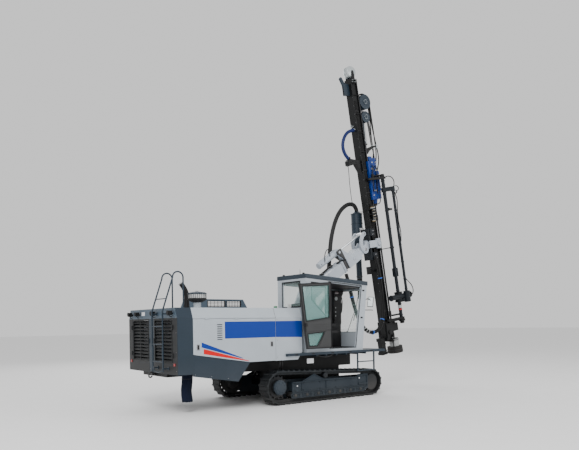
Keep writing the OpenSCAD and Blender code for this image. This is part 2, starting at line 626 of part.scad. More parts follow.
// Tilt cylinder, hung by its trunnion in the boom head, pulls the curved arms of the tilt head
tilt_ear = [outer_l + 60, 420];       // along the boom and over its axis
tilt_base = boom_foot + tilt_ear[0] * boom_dir + tilt_ear[1] * [-boom_dir[1], boom_dir[0]];
tilt_eye = tilt_pin + [-50, 440];
tilt_vec = tilt_eye - tilt_base;
tilt_len = norm(tilt_vec);
module in_tilt() translate([tilt_base[0], feed_y, tilt_base[1]]) rotate([0, -atan2(tilt_vec[1], tilt_vec[0]), 0]) children();
module tilt_barrel() color(boom_grey) in_tilt() difference() {
    union() {
        rotate([90, 0, 0]) cylinder(r = 35, h = 298, center = true, $fn = 48);
        translate([-770, 0, 0]) rotate([0, 90, 0]) cylinder(r = 80, h = 850, $fn = 48);
    }
    translate([-700, 0, 0]) rotate([0, 90, 0]) cylinder(r = 32.05, h = 1000, $fn = 48);
}
module tilt_rod() color("#D8DCE0") in_tilt() {
    translate([tilt_len, 0, 0]) rotate([90, 0, 0]) {
        cylinder(r = 50, h = 90, center = true, $fn = 48);
        cylinder(r = 30, h = 300, center = true, $fn = 48);
    }
    translate([-80, 0, 0]) rotate([0, 90, 0]) cylinder(r = 32, h = tilt_len + 80, $fn = 48);
}
// Curved arm of the tilt head: an arc round arm_c from below the tilt pin up to the rod's eye
arm_c = [150, 205];
arm_r = norm(tilt_eye - tilt_pin - arm_c);
arm_half = 55;
arm_t = 34;
arm_y = boom_box / 2 + slide_gap;      // inner face of each arm
head_w = 2 * (arm_y + arm_t);
module tilt_arm() {
    a0 = 130;
    a1 = 240;
    n = 11;
    polygon([for (k = [0:n]) arm_pt(a0 + k * (a1 - a0) / n, arm_r + arm_half),
        for (k = [n:-1:0]) arm_pt(a0 + k * (a1 - a0) / n, arm_r - arm_half)]);
    translate(tilt_pin) circle(r = 115, $fn = 64);
    translate(tilt_eye) circle(r = 62, $fn = 48);
    translate(tilt_pin) polygon([[0, -70], [150, 40], [158, 215], [30, 215], [-80, 60]]);
}
function arm_pt(a, r) = tilt_pin + arm_c + r * [cos(a), sin(a)];
module tilt_head() color(boom_grey) {
    translate([0, feed_y, 0]) {
        for (y = [-arm_y - arm_t, arm_y]) along_y(y, y + arm_t) tilt_arm();
        translate([tilt_pin[0], 0, tilt_pin[1]]) rotate([90, 0, 0]) cylinder(r = 45, h = head_w, center = true, $fn = 48);
    }
    in_feed() {
        translate([-440, -head_w / 2, swing_z - 75]) cube([90, head_w, 150]);
        translate([-441, 0, swing_z]) rotate([0, 90, 0]) cylinder(r = 135, h = 100, $fn = 64);
        translate([-351, 0, swing_z]) rotate([0, 90, 0]) cylinder(r = 140, h = 60, $fn = 64);
        translate([-351, 0, swing_z]) rotate([0, 90, 0]) cylinder(r = 50, h = 200, $fn = 48);
    }
}
module feed_cradle() color(dark) in_feed() {
    x0 = -290;
    difference() {
        union() {
            translate([x0, -150, swing_z - 450]) cube([60, 300, 900]);
            translate([x0, 0, swing_z]) rotate([0, 90, 0]) cylinder(r = 150, h = 60, $fn = 64);
        }
        translate([x0 - 1, 0, swing_z]) rotate([0, 90, 0]) cylinder(r = 50.05, h = 90, $fn = 48);
        translate([-250, 0, swing_z]) rotate([0, 90, 0]) cylinder(r = 80, h = 90, $fn = 48);
    }
    // shoes that grip the beam's rear flange
    for (z = [swing_z - 440, swing_z + 240], s = [-1, 1]) translate([0, 0, z]) {
        a = flange_w / 2 + eps;
        translate([-230, s > 0 ? a : -a - 45, 0]) cube([160, 45, 200]);
        translate([-230, s > 0 ? 100 : -a - 45, 0]) cube([230 - beam_d / 2 - eps, a - 55, 200]);
        translate([-beam_d / 2 + flange_t + eps, s > 0 ? beam_w / 2 + 10 : -a - 45, 0]) cube([30, a - beam_w / 2 + 35, 200]);
    }
    // side arm that reaches past the beam
    translate([x0, -250, swing_z - 95]) cube([60, 101, 190]);
    translate([x0, -250, swing_z - 95]) cube([330, 60, 190]);
}
cyclone_foot = [tilt_pin[0] + 340, 710, tilt_pin[1] - 770];
cyclone_lean = 2.7;
cyclone_h = [0, 620, 900, 1900]; // spout, cone foot, barrel foot, top
module dust_cyclone() color(slate) {
    translate(cyclone_foot) rotate([0, -cyclone_lean, 0]) {
        cylinder(r = 85, h = cyclone_h[1], $fn = 48);
        translate([0, 0, cyclone_h[1]]) cylinder(r1 = 85, r2 = 165, h = cyclone_h[2] - cyclone_h[1], $fn = 48);
        translate([0, 0, cyclone_h[2]]) cylinder(r = 165, h = cyclone_h[3] - cyclone_h[2], $fn = 48);
        translate([-60, feed_y + 150 + eps - cyclone_foot[1], 960]) cube([120, 135, 140]);
    }
}

module feed_beam() color(black) in_feed() {
    z0 = 560;
    l = beam_top - z0;
    difference() {
        translate([-beam_d / 2, -beam_w / 2, z0]) cube([beam_d, beam_w, l]);
        translate([-beam_d / 2 + 20, -beam_w / 2 + 12, z0 - 1]) cube([beam_d - 40, beam_w - 24, l + 2]);
    }
    for (x = [-beam_d / 2, beam_d / 2 - flange_t])
        translate([x, -flange_w / 2, z0]) cube([flange_t, flange_w, l]);
    // end plate under the top sheave's cheeks
    translate([-beam_d / 2 + 1, -beam_w / 2 + 1, z0 + l - 20]) cube([beam_d - 2, beam_w - 2, 20]);
    // hook plate at the back of the top
    translate([0, 0, beam_top]) along_y(-20, 20) polygon([[-beam_d / 2, -430], [-beam_d / 2 - 210, -430],
        [-beam_d / 2 - 210, -160], [-beam_d / 2 - 300, -10], [-beam_d / 2 - 260, 10], [-beam_d / 2 - 150, -110],
        [-beam_d / 2, -130]]);
    // hose bracket on the back
    translate([0, 0, hose_bracket_z]) along_y(-80, 80) polygon([[-beam_d / 2, -350], [-beam_d / 2, 20],
        [-beam_d / 2 - 400, 80], [-beam_d / 2 - 470, 20], [-beam_d / 2 - 470, -90], [-beam_d / 2 - 400, -110],
        [-beam_d / 2 - 170, -60]]);
    changer_brackets();
    // hose junction block on the near side
    translate([-58, -flange_w / 2 - 70, junction_z]) cube([116, 112, junction_h]);
}
hose_bracket_z = beam_top - 2290;
junction_z = 3930;
junction_h = 330;
sheave_r = 150;
sheave_w = 60;
axle_r = 25;
// Hose discs on the front: height under the beam's top, radius, distance from the beam's middle
hose_discs = [[630, 205, 330], [1055, 155, 280]];
disc_w = 110;
module feed_sheaves() color(slate) in_feed() {
    // top sheave between its cheeks
    translate([0, 0, feed_l]) rotate([90, 0, 0]) {
        cylinder(r = sheave_r, h = sheave_w, center = true, $fn = 64);
        cylinder(r = axle_r, h = 2 * sheave_w, center = true, $fn = 32);
    }
    for (y = [-sheave_w / 2 - 15, sheave_w / 2 + 3]) translate([-70, y, beam_top + eps]) cube([140, 12, 260]);
    for (d = hose_discs) translate([0, 0, beam_top - d[0]]) {
        translate([d[2], 0, 0]) rotate([90, 0, 0]) {
            cylinder(r = d[1], h = disc_w, center = true, $fn = 64);
            cylinder(r = axle_r, h = disc_w + 80, center = true, $fn = 32);
        }
        // fork that carries the disc's axle
        translate([beam_d / 2 + eps, -disc_w / 2 - 25, -50]) difference() {
            cube([d[2] - beam_d / 2 + 30, disc_w + 50, 100]);
            translate([-1, 24, -1]) cube([d[2] - beam_d / 2 + 32, disc_w + 2, 102]);
        }
    }
    // hose tensioning cylinder
    translate([260, 0, beam_top - 1810]) cylinder(r = 42, h = 600, $fn = 32);
    translate([beam_d / 2 + eps, -40, beam_top - 1780]) cube([120, 80, 60]);
}
foot_z = 400;          // underside of the foot's block
foot_y = 145;          // half its width
guide_rod = [80, 175]; // place of the hood's guide rods
guide_r = 14;
module feed_foot() color(black) in_feed() {
    // rod guide
    difference() {
        translate([beam_d / 2 + eps, -130, 620]) cube([drill_x, 260, 230]);
        translate([drill_x, 0, 600]) cylinder(r = 75, h = 400, $fn = 48);
    }
    // block round the beam's end, with the bracket of the ground claws
    translate([-140, -foot_y, foot_z]) cube([340, 2 * foot_y, 560 - eps - foot_z]);
    both_sides() translate([-140, -foot_y, foot_z]) cube([340, foot_y - flange_w / 2 - eps, 490]);
    translate([-330, -100, foot_z]) cube([191, 200, 90]);
    translate([-310, -80, 80]) cube([160, 160, foot_z - 79]);
    for (i = [0:3]) translate([-330 + i * 58, -100, 0]) cube([26, 200, 81]);
    translate([-330, -100, 60]) cube([200, 200, 21]);
    // rods that guide the dust hood
    both_sides() {
        translate([guide_rod[0], -guide_rod[1], 10]) cylinder(r = guide_r, h = foot_z - 9, $fn = 24);
        translate([guide_rod[0] - 25, -guide_rod[1] - 25, foot_z]) cube([50, 60, 40]);
    }
}
// Drifter, from its shank end up
drifter_z = 4330;
carriage_l = 1100;
shoe_d = 40;
motor_at = [440, -100];
module drifter() color(blue) in_feed() {
    a = flange_w / 2 + eps;
    // carriage with shoes on the front flange
    translate([0, 0, drifter_z + 170]) {
        translate([beam_d / 2 + eps, -a - shoe_d, 0]) cube([35, 2 * (a + shoe_d), carriage_l]);
        for (y = [-a - shoe_d, a]) translate([beam_d / 2 - flange_t - 30, y, 0]) cube([flange_t + 31, shoe_d, carriage_l]);
        for (y = [-a - shoe_d, a - 30]) translate([beam_d / 2 - flange_t - eps - 30, y, 0]) cube([30, 70, carriage_l]);
    }
    translate([drill_x, 0, drifter_z]) {
        // front head, gearbox, percussion body and back head
        translate([0, 0, 70]) cylinder(r1 = 70, r2 = 100, h = 140, $fn = 48);
        translate([-150, -145, 190]) cube([310, 290, 240]);
        translate([-150, -100, 400]) cube([230, 200, 700]);
        translate([0, 0, 400]) cylinder(r = 95, h = 960, $fn = 48);
        translate([-145, -135, 1040]) cube([280, 270, 320]);
        translate([0, 0, 1340]) cylinder(r = 60, h = 70, $fn = 48);
    }
    // rotation motor and damping accumulator
    translate([motor_at[0], motor_at[1], drifter_z + 420]) cylinder(r = 62, h = 470, $fn = 32);
    translate([motor_at[0], 70, drifter_z + 420]) cylinder(r = 45, h = 330, $fn = 32);
}
module drill_rod() color("#7A7D80") in_feed() {
    translate([drill_x, 0, drifter_z]) {
        cylinder(r = 60, h = 70 - eps, $fn = 48);
        translate([0, 0, 1 - rod_l]) cylinder(r = rod_r, h = rod_l, $fn = 32);
        translate([0, 0, -rod_l]) cylinder(r = 45, h = 120, $fn = 32);
    }
}
changer = [445, -290];
claw_reach = norm(changer - [drill_x, 0]);
claw_rest = 27;
// Hubs: height, radius of the hub and of its side unit, height of both
changer_hubs = [[1450, 110, 95, 300], [4680, 80, 60, 120]];
unit_at = [180, -170];
module rod_changer() color(slate) in_feed() translate([changer[0], changer[1], 0]) {
    translate([0, 0, 1010]) cylinder(r = 50, h = 4040, $fn = 32);
    for (h = changer_hubs) translate([0, 0, h[0]]) {
        cylinder(r = h[1], h = h[3], $fn = 32);
        translate([unit_at[0], unit_at[1], -20]) cylinder(r = h[2], h = h[3] + 20, $fn = 32);
        linear_extrude(120) polygon([[-30, -50], [50, -20], [230, -180], [160, -220]]);
    }
    translate([unit_at[0], unit_at[1], 1500]) cylinder(r = 40, h = 3250, $fn = 32);
    // swing cylinder across the lower hub
    translate([-440, -100, changer_hubs[0][0] + 170]) rotate([0, 90, 0]) cylinder(r = 75, h = 840, $fn = 32);
    // claws that take a rod, turned away from the drill axis
    for (z = [1530, 4150]) translate([0, 0, z]) linear_extrude(60) rotate(claw_rest) difference() {
        polygon([[0, -45], [claw_reach + 55, -60], [claw_reach + 55, 55], [0, 45]]);
        translate([claw_reach, 0]) circle(r = 40, $fn = 32);
        translate([claw_reach - 36, 0]) square([72, 200]);
    }
}
// Brackets that carry the rod changer's shaft at its two ends
module changer_brackets() for (z = [1010 - eps - 60, 5050 + eps]) translate([0, 0, z]) linear_extrude(60)
    polygon([[-50, -beam_w / 2 + 5], [60, -beam_w / 2 + 5], [60, -185], [changer[0] - 45, changer[1] + 50],
        [changer[0] + 60, changer[1] + 55], [changer[0] + 60, changer[1] - 70], [changer[0] - 60, changer[1] - 70],
        [-50, -250]]);
hood_r = 225;
hood_can_r = 135;
hood_low_z = -40;
module dust_hood() color(black) in_feed() difference() {
    union() {
        translate([drill_x, 0, hood_low_z]) cylinder(r = hood_r, h = 190, $fn = 48);
        translate([drill_x, 0, hood_low_z + 180]) cylinder(r = hood_can_r, h = 248, $fn = 48);
        // yoke on the guide rods
        translate([guide_rod[0] - 28, -guide_rod[1] - 28, 330]) cube([56, 2 * guide_rod[1] + 56, 40]);
        translate([guide_rod[0], -60, 330]) cube([drill_x - guide_rod[0] - 90, 120, 40]);
    }
    translate([drill_x, 0, hood_low_z - 1]) cylinder(r = hood_r - 22, h = 170, $fn = 48);
    translate([drill_x, 0, hood_low_z - 10]) cylinder(r = 85, h = 800, $fn = 48);
    for (s = [-1, 1]) translate([guide_rod[0], s * guide_rod[1], 300]) cylinder(r = guide_r + 0.05, h = 100, $fn = 24);
}
// Suction hose, from the top of the cyclone down behind the cab
hose_r = 59;
hose_pts = [[2850.4, 710, 5048.4], [2844.5, 710, 5173], [2740, 705, 5290], [2560, 700, 5300], [2380, 695, 5220],
    [2200, 690, 5070], [2040, 680, 4850], [1910, 670, 4570], [1810, 660, 4250], [1750, 650, 3930],
    [1712, 644, 3640], [1690, 640, 3440], [1690, 640, 3330]];
function unit(v) = v / norm(v);
function hose_tangent(i) = unit(hose_pts[min(i + 1, len(hose_pts) - 1)] - hose_pts[max(i - 1, 0)]);
function hose_ring(i) = let (t = hose_tangent(i), u = unit(cross(t, [0, 1, 0])), v = cross(t, u))
    [for (a = [0:45:315]) hose_pts[i] + hose_r * (cos(a) * u + sin(a) * v)];
module suction_hose() color(black) {
    n = len(hose_pts);
    polyhedron(points = [for (i = [0:n - 1]) each hose_ring(i)],
        faces = concat([[for (j = [0:7]) j]],
            [for (i = [0:n - 2], j = [0:7]) [i * 8 + j, (i + 1) * 8 + j, (i + 1) * 8 + (j + 1) % 8, i * 8 + (j + 1) % 8]],
            [[for (j = [7:-1:0]) (n - 1) * 8 + j]]));
}

track_near();
track_far();
track_frames();
running_gear();
main_frame();
engine_block();
rear_housing();
louvre_doors();
side_panels();
side_door_near();
side_door_far();
hood_top();
skirts();
top_guard();
rear_ladder();
exhaust();
air_precleaner();
rear_lamps();
dust_sleeve();
walkway();
cab_shell();
cab_roof();
cab_glass();
cab_fittings();
cab_door();
door_glass();
boom_tower();
boom_bracket();
outer_boom();
inner_boom();
lift_barrel();
lift_rod();
tilt_barrel();
tilt_rod();
tilt_head();
feed_cradle();
dust_cyclone();
feed_beam();
feed_sheaves();
feed_foot();
drifter();
drill_rod();
rod_changer();
dust_hood();
suction_hose();
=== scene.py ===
"""Looks of the crawler drilling rig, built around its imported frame. Lengths in metres."""

import math
import random

import bmesh
import bpy
from mathutils import Matrix, Vector


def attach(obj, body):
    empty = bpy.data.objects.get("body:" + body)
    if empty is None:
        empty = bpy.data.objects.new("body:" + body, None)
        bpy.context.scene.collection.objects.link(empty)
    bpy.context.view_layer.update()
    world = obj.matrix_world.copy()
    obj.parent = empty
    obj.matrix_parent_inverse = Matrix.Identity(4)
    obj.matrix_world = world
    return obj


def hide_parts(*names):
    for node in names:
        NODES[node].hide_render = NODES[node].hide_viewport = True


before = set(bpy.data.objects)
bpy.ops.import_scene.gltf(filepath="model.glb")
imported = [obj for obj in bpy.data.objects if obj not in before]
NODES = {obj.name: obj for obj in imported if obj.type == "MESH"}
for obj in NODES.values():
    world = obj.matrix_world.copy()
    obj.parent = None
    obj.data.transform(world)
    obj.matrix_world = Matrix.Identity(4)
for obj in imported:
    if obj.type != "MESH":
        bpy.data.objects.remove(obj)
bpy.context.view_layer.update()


# Camera
cam_data = bpy.data.cameras.new("camera")
cam = bpy.data.objects.new("camera", cam_data)
bpy.context.scene.collection.objects.link(cam)
bpy.context.scene.camera = cam
az, roll = math.radians(37.07), math.radians(-0.89)
look_dir = Vector((math.sin(az), math.cos(az), 0))
right, up = Vector((math.cos(az), -math.sin(az), 0)), Vector((0, 0, 1))
x_axis = right * math.cos(roll) + up * math.sin(roll)
y_axis = up * math.cos(roll) - right * math.sin(roll)
cam.matrix_world = Matrix((x_axis, y_axis, -look_dir)).transposed().to_4x4()
cam.location = (-9.422, -12.181, 1.853)
cam_data.sensor_fit, cam_data.sensor_width = "HORIZONTAL", 36
cam_data.lens, cam_data.shift_y = 37.31, 0.170
cam_data.clip_start, cam_data.clip_end = 0.1, 400


# Materials
class Val:
    """A value in a material's node tree. Arithmetic on it adds nodes."""

    def __init__(self, tree, socket=None):
        self.tree, self.socket = tree, socket

    def make(self, kind, inputs=(), out=0, **settings):
        node = self.tree.nodes.new(kind)
        for name, value in settings.items():
            setattr(node, name, value)
        pairs = inputs.items() if isinstance(inputs, dict) else enumerate(inputs)
        for place, value in pairs:
            if isinstance(value, Val):
                self.tree.links.new(value.socket, node.inputs[place])
            elif value is not None:
                node.inputs[place].default_value = value
        return Val(self.tree, node.outputs[out])

    def math(self, operation, *others, clamp=False):
        return self.make("ShaderNodeMath", (self, *others), operation=operation, use_clamp=clamp)

    def __add__(self, other):
        return self.math("ADD", other)

    def __sub__(self, other):
        return self.math("SUBTRACT", other)

    def __mul__(self, other):
        return self.math("MULTIPLY", other)

    def ramp(self, low, high):
        """0 below low, 1 above high."""
        return self.make("ShaderNodeMapRange", (self, low, high, 0.0, 1.0))

    def mix(self, a, b):
        """Colour a where this is 0, b where it is 1."""
        return self.make("ShaderNodeMix", {0: self, 6: a, 7: b}, out=2, data_type="RGBA")


def rgba(c):
    return (c[0], c[1], c[2], 1.0)


def surface(name, colour, rough=0.5, metal=0.0, coat=0.0, spec=0.4, dust=0.0, dust_top=1.2, grain=0.15,
            grain_scale=90.0,
            alpha=1.0, patchy=0.06, dust_colour=(0.30, 0.27, 0.23), worn=None, band=None):
    """A painted, cast, rubber or glass surface. Its colour varies a little, dust gathers below dust_top,
    paint is worn to the worn colour in flecks, and band is a
    direction, a span along it and the colour there."""
    mat = bpy.data.materials.new(name)
    mat.use_nodes = True
    tree = mat.node_tree
    shader = next(n for n in tree.nodes if n.type == "BSDF_PRINCIPLED")
    v = Val(tree)
    place = v.make("ShaderNodeTexCoord", out=3)
    cloud = v.make("ShaderNodeTexNoise", {0: place, 2: 2.3, 3: 4.0})
    fine = v.make("ShaderNodeTexNoise", {0: place, 2: grain_scale, 3: 3.0})
    base = cloud.ramp(0.3, 0.7).mix(rgba([c * (1 - patchy) for c in colour]),
                                    rgba([min(1, c * (1 + patchy)) for c in colour]))
    roughness = cloud * 0.12 + (rough - 0.06)
    # band paints a span along a direction in another colour; the inner boom uses it for painted shade in the
    # gap behind the collar
    if band:
        way, span, tint = band
        along = v.make("ShaderNodeVectorMath", (place, way), out=1, operation="DOT_PRODUCT")
        base = (along.ramp(span[0], span[0] + 0.004) - along.ramp(span[1], span[1] + 0.004)).mix(base,
                rgba(tint))
    if worn:
        fleck = v.make("ShaderNodeTexNoise", {0: place, 2: 9.0, 3: 8.0, 4: 0.7}).ramp(0.60,
                0.72) * cloud.ramp(0.45, 0.6)
        base = (fleck * 0.6).mix(base, rgba(worn))
        roughness = roughness + fleck * 0.15
    if dust:
        height = v.make("ShaderNodeSeparateXYZ", (place,), out=2)
        low = height.make("ShaderNodeMapRange", (height, dust_top * 0.15, dust_top, 1.0, 0.0))
        mask = ((low * cloud.ramp(0.25, 0.65) + low * 0.35) * dust).math("MINIMUM", 1.0)
        base = mask.mix(base, rgba(dust_colour))
        roughness = mask * 0.3 + roughness
    tree.links.new(base.socket, shader.inputs["Base Color"])
    tree.links.new(roughness.socket, shader.inputs["Roughness"])
    shader.inputs["Metallic"].default_value = metal
    shader.inputs["Coat Weight"].default_value = coat
    shader.inputs["Specular IOR Level"].default_value = spec
    shader.inputs["Alpha"].default_value = alpha
    if grain:
        bump = v.make("ShaderNodeBump", {"Strength": grain, "Distance": 0.004, "Height": fine})
        tree.links.new(bump.socket, shader.inputs["Normal"])
    return mat


SLATE = (0.0125, 0.0245, 0.0385)
BOOM_WAY = (math.cos(math.radians(33.75)), 0.0, math.sin(math.radians(33.75)))
# distance along BOOM_WAY from the frame's origin to the boom's foot pin
BOOM_0 = 0.55 * BOOM_WAY[0] + 2.55 * BOOM_WAY[2]
M = {
    "white": surface("panel_white", (0.385, 0.425, 0.465), 0.36, coat=0.15, dust=0.10, grain=0.03,
                     patchy=0.03),
    "boom": surface("boom_grey", (0.40, 0.44, 0.49), 0.42, coat=0.10, grain=0.08, patchy=0.05),
    # the inner boom is boom grey with a near-black band along it, from past the foot pin to the head: painted
    # shade in the gap between the outer boom's collar and the head
    "boom_inner": surface("boom_grey_with_painted_gap_shade", (0.40, 0.44, 0.49), 0.42, coat=0.10, grain=0.08, patchy=0.05,
                          band=(BOOM_WAY, (BOOM_0 + 0.3, BOOM_0 + 1.688), (0.012, 0.012, 0.013))),
    "slate": surface("slate_paint", SLATE, 0.42, coat=0.1, spec=0.3, dust=0.05, grain=0.05),
    "slate_light": surface("slate_light", (0.062, 0.090, 0.120), 0.42, coat=0.1, spec=0.3, grain=0.05),
    "frame": surface("track_frame_paint", (0.0115, 0.0205, 0.0305), 0.55, spec=0.25, dust=0.05, dust_top=0.7,
                     grain=0.25,
                     worn=(0.06, 0.06, 0.06)),
    "dark": surface("dark_paint", (0.007, 0.010, 0.014), 0.5, spec=0.25, dust=0.12, dust_top=0.7, grain=0.1),
    "black": surface("black_paint", (0.0042, 0.0046, 0.0052), 0.45, spec=0.25, grain=0.12,
                     worn=(0.05, 0.05, 0.05)),
    "grille": surface("grille_paint", (0.017, 0.018, 0.019), 0.5, spec=0.3, grain=0.1),
    "door": surface("door_frame_grey", (0.038, 0.039, 0.040), 0.5, spec=0.3, grain=0.06),
    "track": surface("track_steel", (0.016, 0.020, 0.024), 0.5, metal=0.4, spec=0.3, dust=0.14, dust_top=0.9,
                     grain=0.5,
                     grain_scale=45, patchy=0.3, dust_colour=(0.14, 0.12, 0.10), worn=(0.10, 0.09, 0.08)),
    "steel": surface("worn_steel", (0.26, 0.26, 0.27), 0.38, metal=0.9, grain=0.2, patchy=0.15),
    "dark_steel": surface("oiled_steel", (0.050, 0.050, 0.052), 0.42, metal=0.7, grain=0.2, patchy=0.2),
    "chrome": surface("chromed_rod", (0.78, 0.80, 0.82), 0.12, metal=1.0, grain=0.0, patchy=0.02),
    "silver": surface("silver_drum", (0.50, 0.54, 0.55), 0.35, metal=0.6, grain=0.1, patchy=0.1),
    "brass": surface("brass_fittings", (0.42, 0.32, 0.17), 0.35, metal=0.8, grain=0.1),
    "blue": surface("blue_paint", (0.0005, 0.028, 0.185), 0.42, spec=0.3, grain=0.1),
    "stripe_blue": surface("stripe_blue", (0.0, 0.030, 0.245), 0.36, spec=0.25, grain=0.03, patchy=0.03),
    "stripe_red": surface("stripe_red", (0.60, 0.001, 0.003), 0.36, spec=0.25, grain=0.03, patchy=0.03),
    "red": surface("red_caps", (0.50, 0.02, 0.02), 0.4, grain=0.1),
    "green": surface("green_cap", (0.05, 0.22, 0.10), 0.4, grain=0.1),
    "hose": surface("hose_rubber", (0.009, 0.009, 0.0095), 0.55, spec=0.3, grain=0.35, grain_scale=160),
    "hose_blue": surface("blue_hose", (0.002, 0.012, 0.090), 0.5, spec=0.3, grain=0.3, grain_scale=160),
    "wrap": surface("pale_wrap", (0.55, 0.56, 0.56), 0.5, grain=0.1),
    "tie_blue": surface("blue_tie", (0.02, 0.12, 0.50), 0.4, grain=0.1),
    "rubber": surface("black_rubber", (0.012, 0.012, 0.012), 0.75, spec=0.25, grain=0.5, dust=0.15,
                      dust_top=1.3),
    "gasket": surface("window_gasket", (0.008, 0.008, 0.009), 0.6, spec=0.3, grain=0.2),
    "fabric": surface("sleeve_cloth", (0.0045, 0.0075, 0.020), 0.9, spec=0.2, grain=0.9, grain_scale=300,
                      patchy=0.25),
    "plastic": surface("cab_plastic", (0.010, 0.010, 0.011), 0.6, spec=0.3, grain=0.3),
    "seat": surface("seat_cloth", (0.012, 0.012, 0.014), 0.9, spec=0.2, grain=0.8, grain_scale=400),
    "dial": surface("dial_face", (0.25, 0.27, 0.27), 0.3, grain=0.0),
    "screen": surface("dark_screen", (0.030, 0.006, 0.008), 0.15, coat=0.5, grain=0.0),
    "clear": surface("clear_glass", (0.55, 0.75, 0.72), 0.05, coat=0.3, alpha=0.10, grain=0.0, patchy=0.02),
    "teal": surface("teal_glass", (0.17, 0.36, 0.33), 0.08, coat=0.4, alpha=0.44, grain=0.0, patchy=0.02),
    "lens": surface("lamp_lens", (0.80, 0.81, 0.78), 0.15, coat=0.6, grain=0.0),
    "red_lens": surface("red_lens", (0.30, 0.008, 0.008), 0.2, coat=0.6, grain=0.0),
    "plate": surface("blank_plate", (0.66, 0.67, 0.69), 0.4, grain=0.03),
    "pale": surface("pale_moulding", (0.40, 0.41, 0.41), 0.5, grain=0.2, patchy=0.12),
    "engine": surface("engine_casting", (0.10, 0.10, 0.10), 0.6, metal=0.3, grain=0.4),
}

LOOK = {
    "track": ["track_near", "track_far"],
    "frame": ["track_frames"],
    "dark": ["running_gear", "rod_changer", "feed_cradle"],
    "black": ["main_frame", "exhaust", "feed_beam", "feed_foot", "rear_lamps", "air_precleaner"],
    "slate": ["rear_housing", "skirts", "rear_ladder", "walkway", "cab_roof", "dust_cyclone", "feed_sheaves"],
    "slate_light": ["top_guard"],
    "door": ["cab_door"],
    "grille": ["louvre_doors"],
    "white": ["side_panels", "side_door_near", "side_door_far", "hood_top", "cab_shell"],
    "boom": ["boom_tower", "boom_bracket", "outer_boom", "lift_barrel", "tilt_barrel", "tilt_head"],
    "boom_inner": ["inner_boom"],
    "chrome": ["lift_rod", "tilt_rod"],
    "blue": ["drifter"],
    "dark_steel": ["drill_rod"],
    "clear": ["cab_glass"],
    "teal": ["door_glass"],
    "rubber": ["dust_hood"],
    "fabric": ["dust_sleeve"],
    "plastic": ["cab_fittings"],
    "engine": ["engine_block"],
    "hose": ["suction_hose"],
}
for look, names in LOOK.items():
    for name in names:
        NODES[name].data.materials.clear()
        NODES[name].data.materials.append(M[look])

# sheet and plate edges of the frame's own nodes are slightly rounded
for name in ["side_panels", "side_door_near", "side_door_far", "hood_top", "rear_housing", "skirts",
             "cab_shell", "cab_roof",
             "walkway", "top_guard", "boom_tower", "boom_bracket", "outer_boom",
             "inner_boom", "tilt_head", "feed_cradle",
             "feed_beam", "drifter", "track_frames", "cab_door", "feed_foot", "rod_changer"]:
    edge = NODES[name].modifiers.new("rounded_edges", "BEVEL")
    edge.width, edge.segments, edge.limit_method, edge.angle_limit = 0.006, 2, "ANGLE", math.radians(35)


# Places
def turned(origin, lean, axis="Y"):
    return Matrix.Translation(Vector(origin)) @ Matrix.Rotation(math.radians(lean), 4, axis)


WORLD = Matrix.Identity(4)
FEED = turned((3.66, 0.28, 0.93), -10)            # Z up the feed, X to its front
BOOM = turned((0.55, 0.28, 2.55), -33.75)         # X along the boom, Z out of its top
DOOR = turned((0.06, -1.25, 0), -175, "Z")        # X from the cab door's hinge to its free edge
HALF = 1.23                                       # half the body's width
DRILL_X = 0.30                                    # drill axis in FEED
CHANGER = Vector((0.445, -0.290, 0))              # rod changer's shaft in FEED


def offset(outline, d):
    """The outline moved outward by d, with sharp corners."""
    n = len(outline)
    p = [Vector(q) for q in outline]
    area = sum(p[i].x * p[(i + 1) % n].y - p[(i + 1) % n].x * p[i].y for i in range(n))
    out = []
    for i in range(n):
        a, b = (p[i] - p[i - 1]).normalized(), (p[(i + 1) % n] - p[i]).normalized()
        na, nb = Vector((a.y, -a.x)), Vector((b.y, -b.x))
        if area < 0:
            na, nb = -na, -nb
        m = (na + nb) / (1 + na.dot(nb))
        out.append(p[i] + m * d)
    return out


def curve_through(points, steps):
    """Points on a smooth line through the given ones."""
    p = [Vector(q) for q in points]
    if steps < 2 or len(p) < 3:
        return p
    ends = [p[0] * 2 - p[1]] + p + [p[-1] * 2 - p[-2]]
    line = []
    for a, b, c, d in zip(ends, ends[1:], ends[2:], ends[3:]):
        for k in range(steps):
            t = k / steps
            line.append(0.5 * ((2 * b) + (c - a) * t + (2 * a - 5 * b + 4 * c - d) * t * t
                               + (3 * b - a - 3 * c + d) * t ** 3))
    return line + [p[-1]]


ORDER = {"y": lambda a, b, t: (a, t, b), "z": lambda a, b, t: (a, b, t), "x": lambda a, b, t: (t, a, b)}


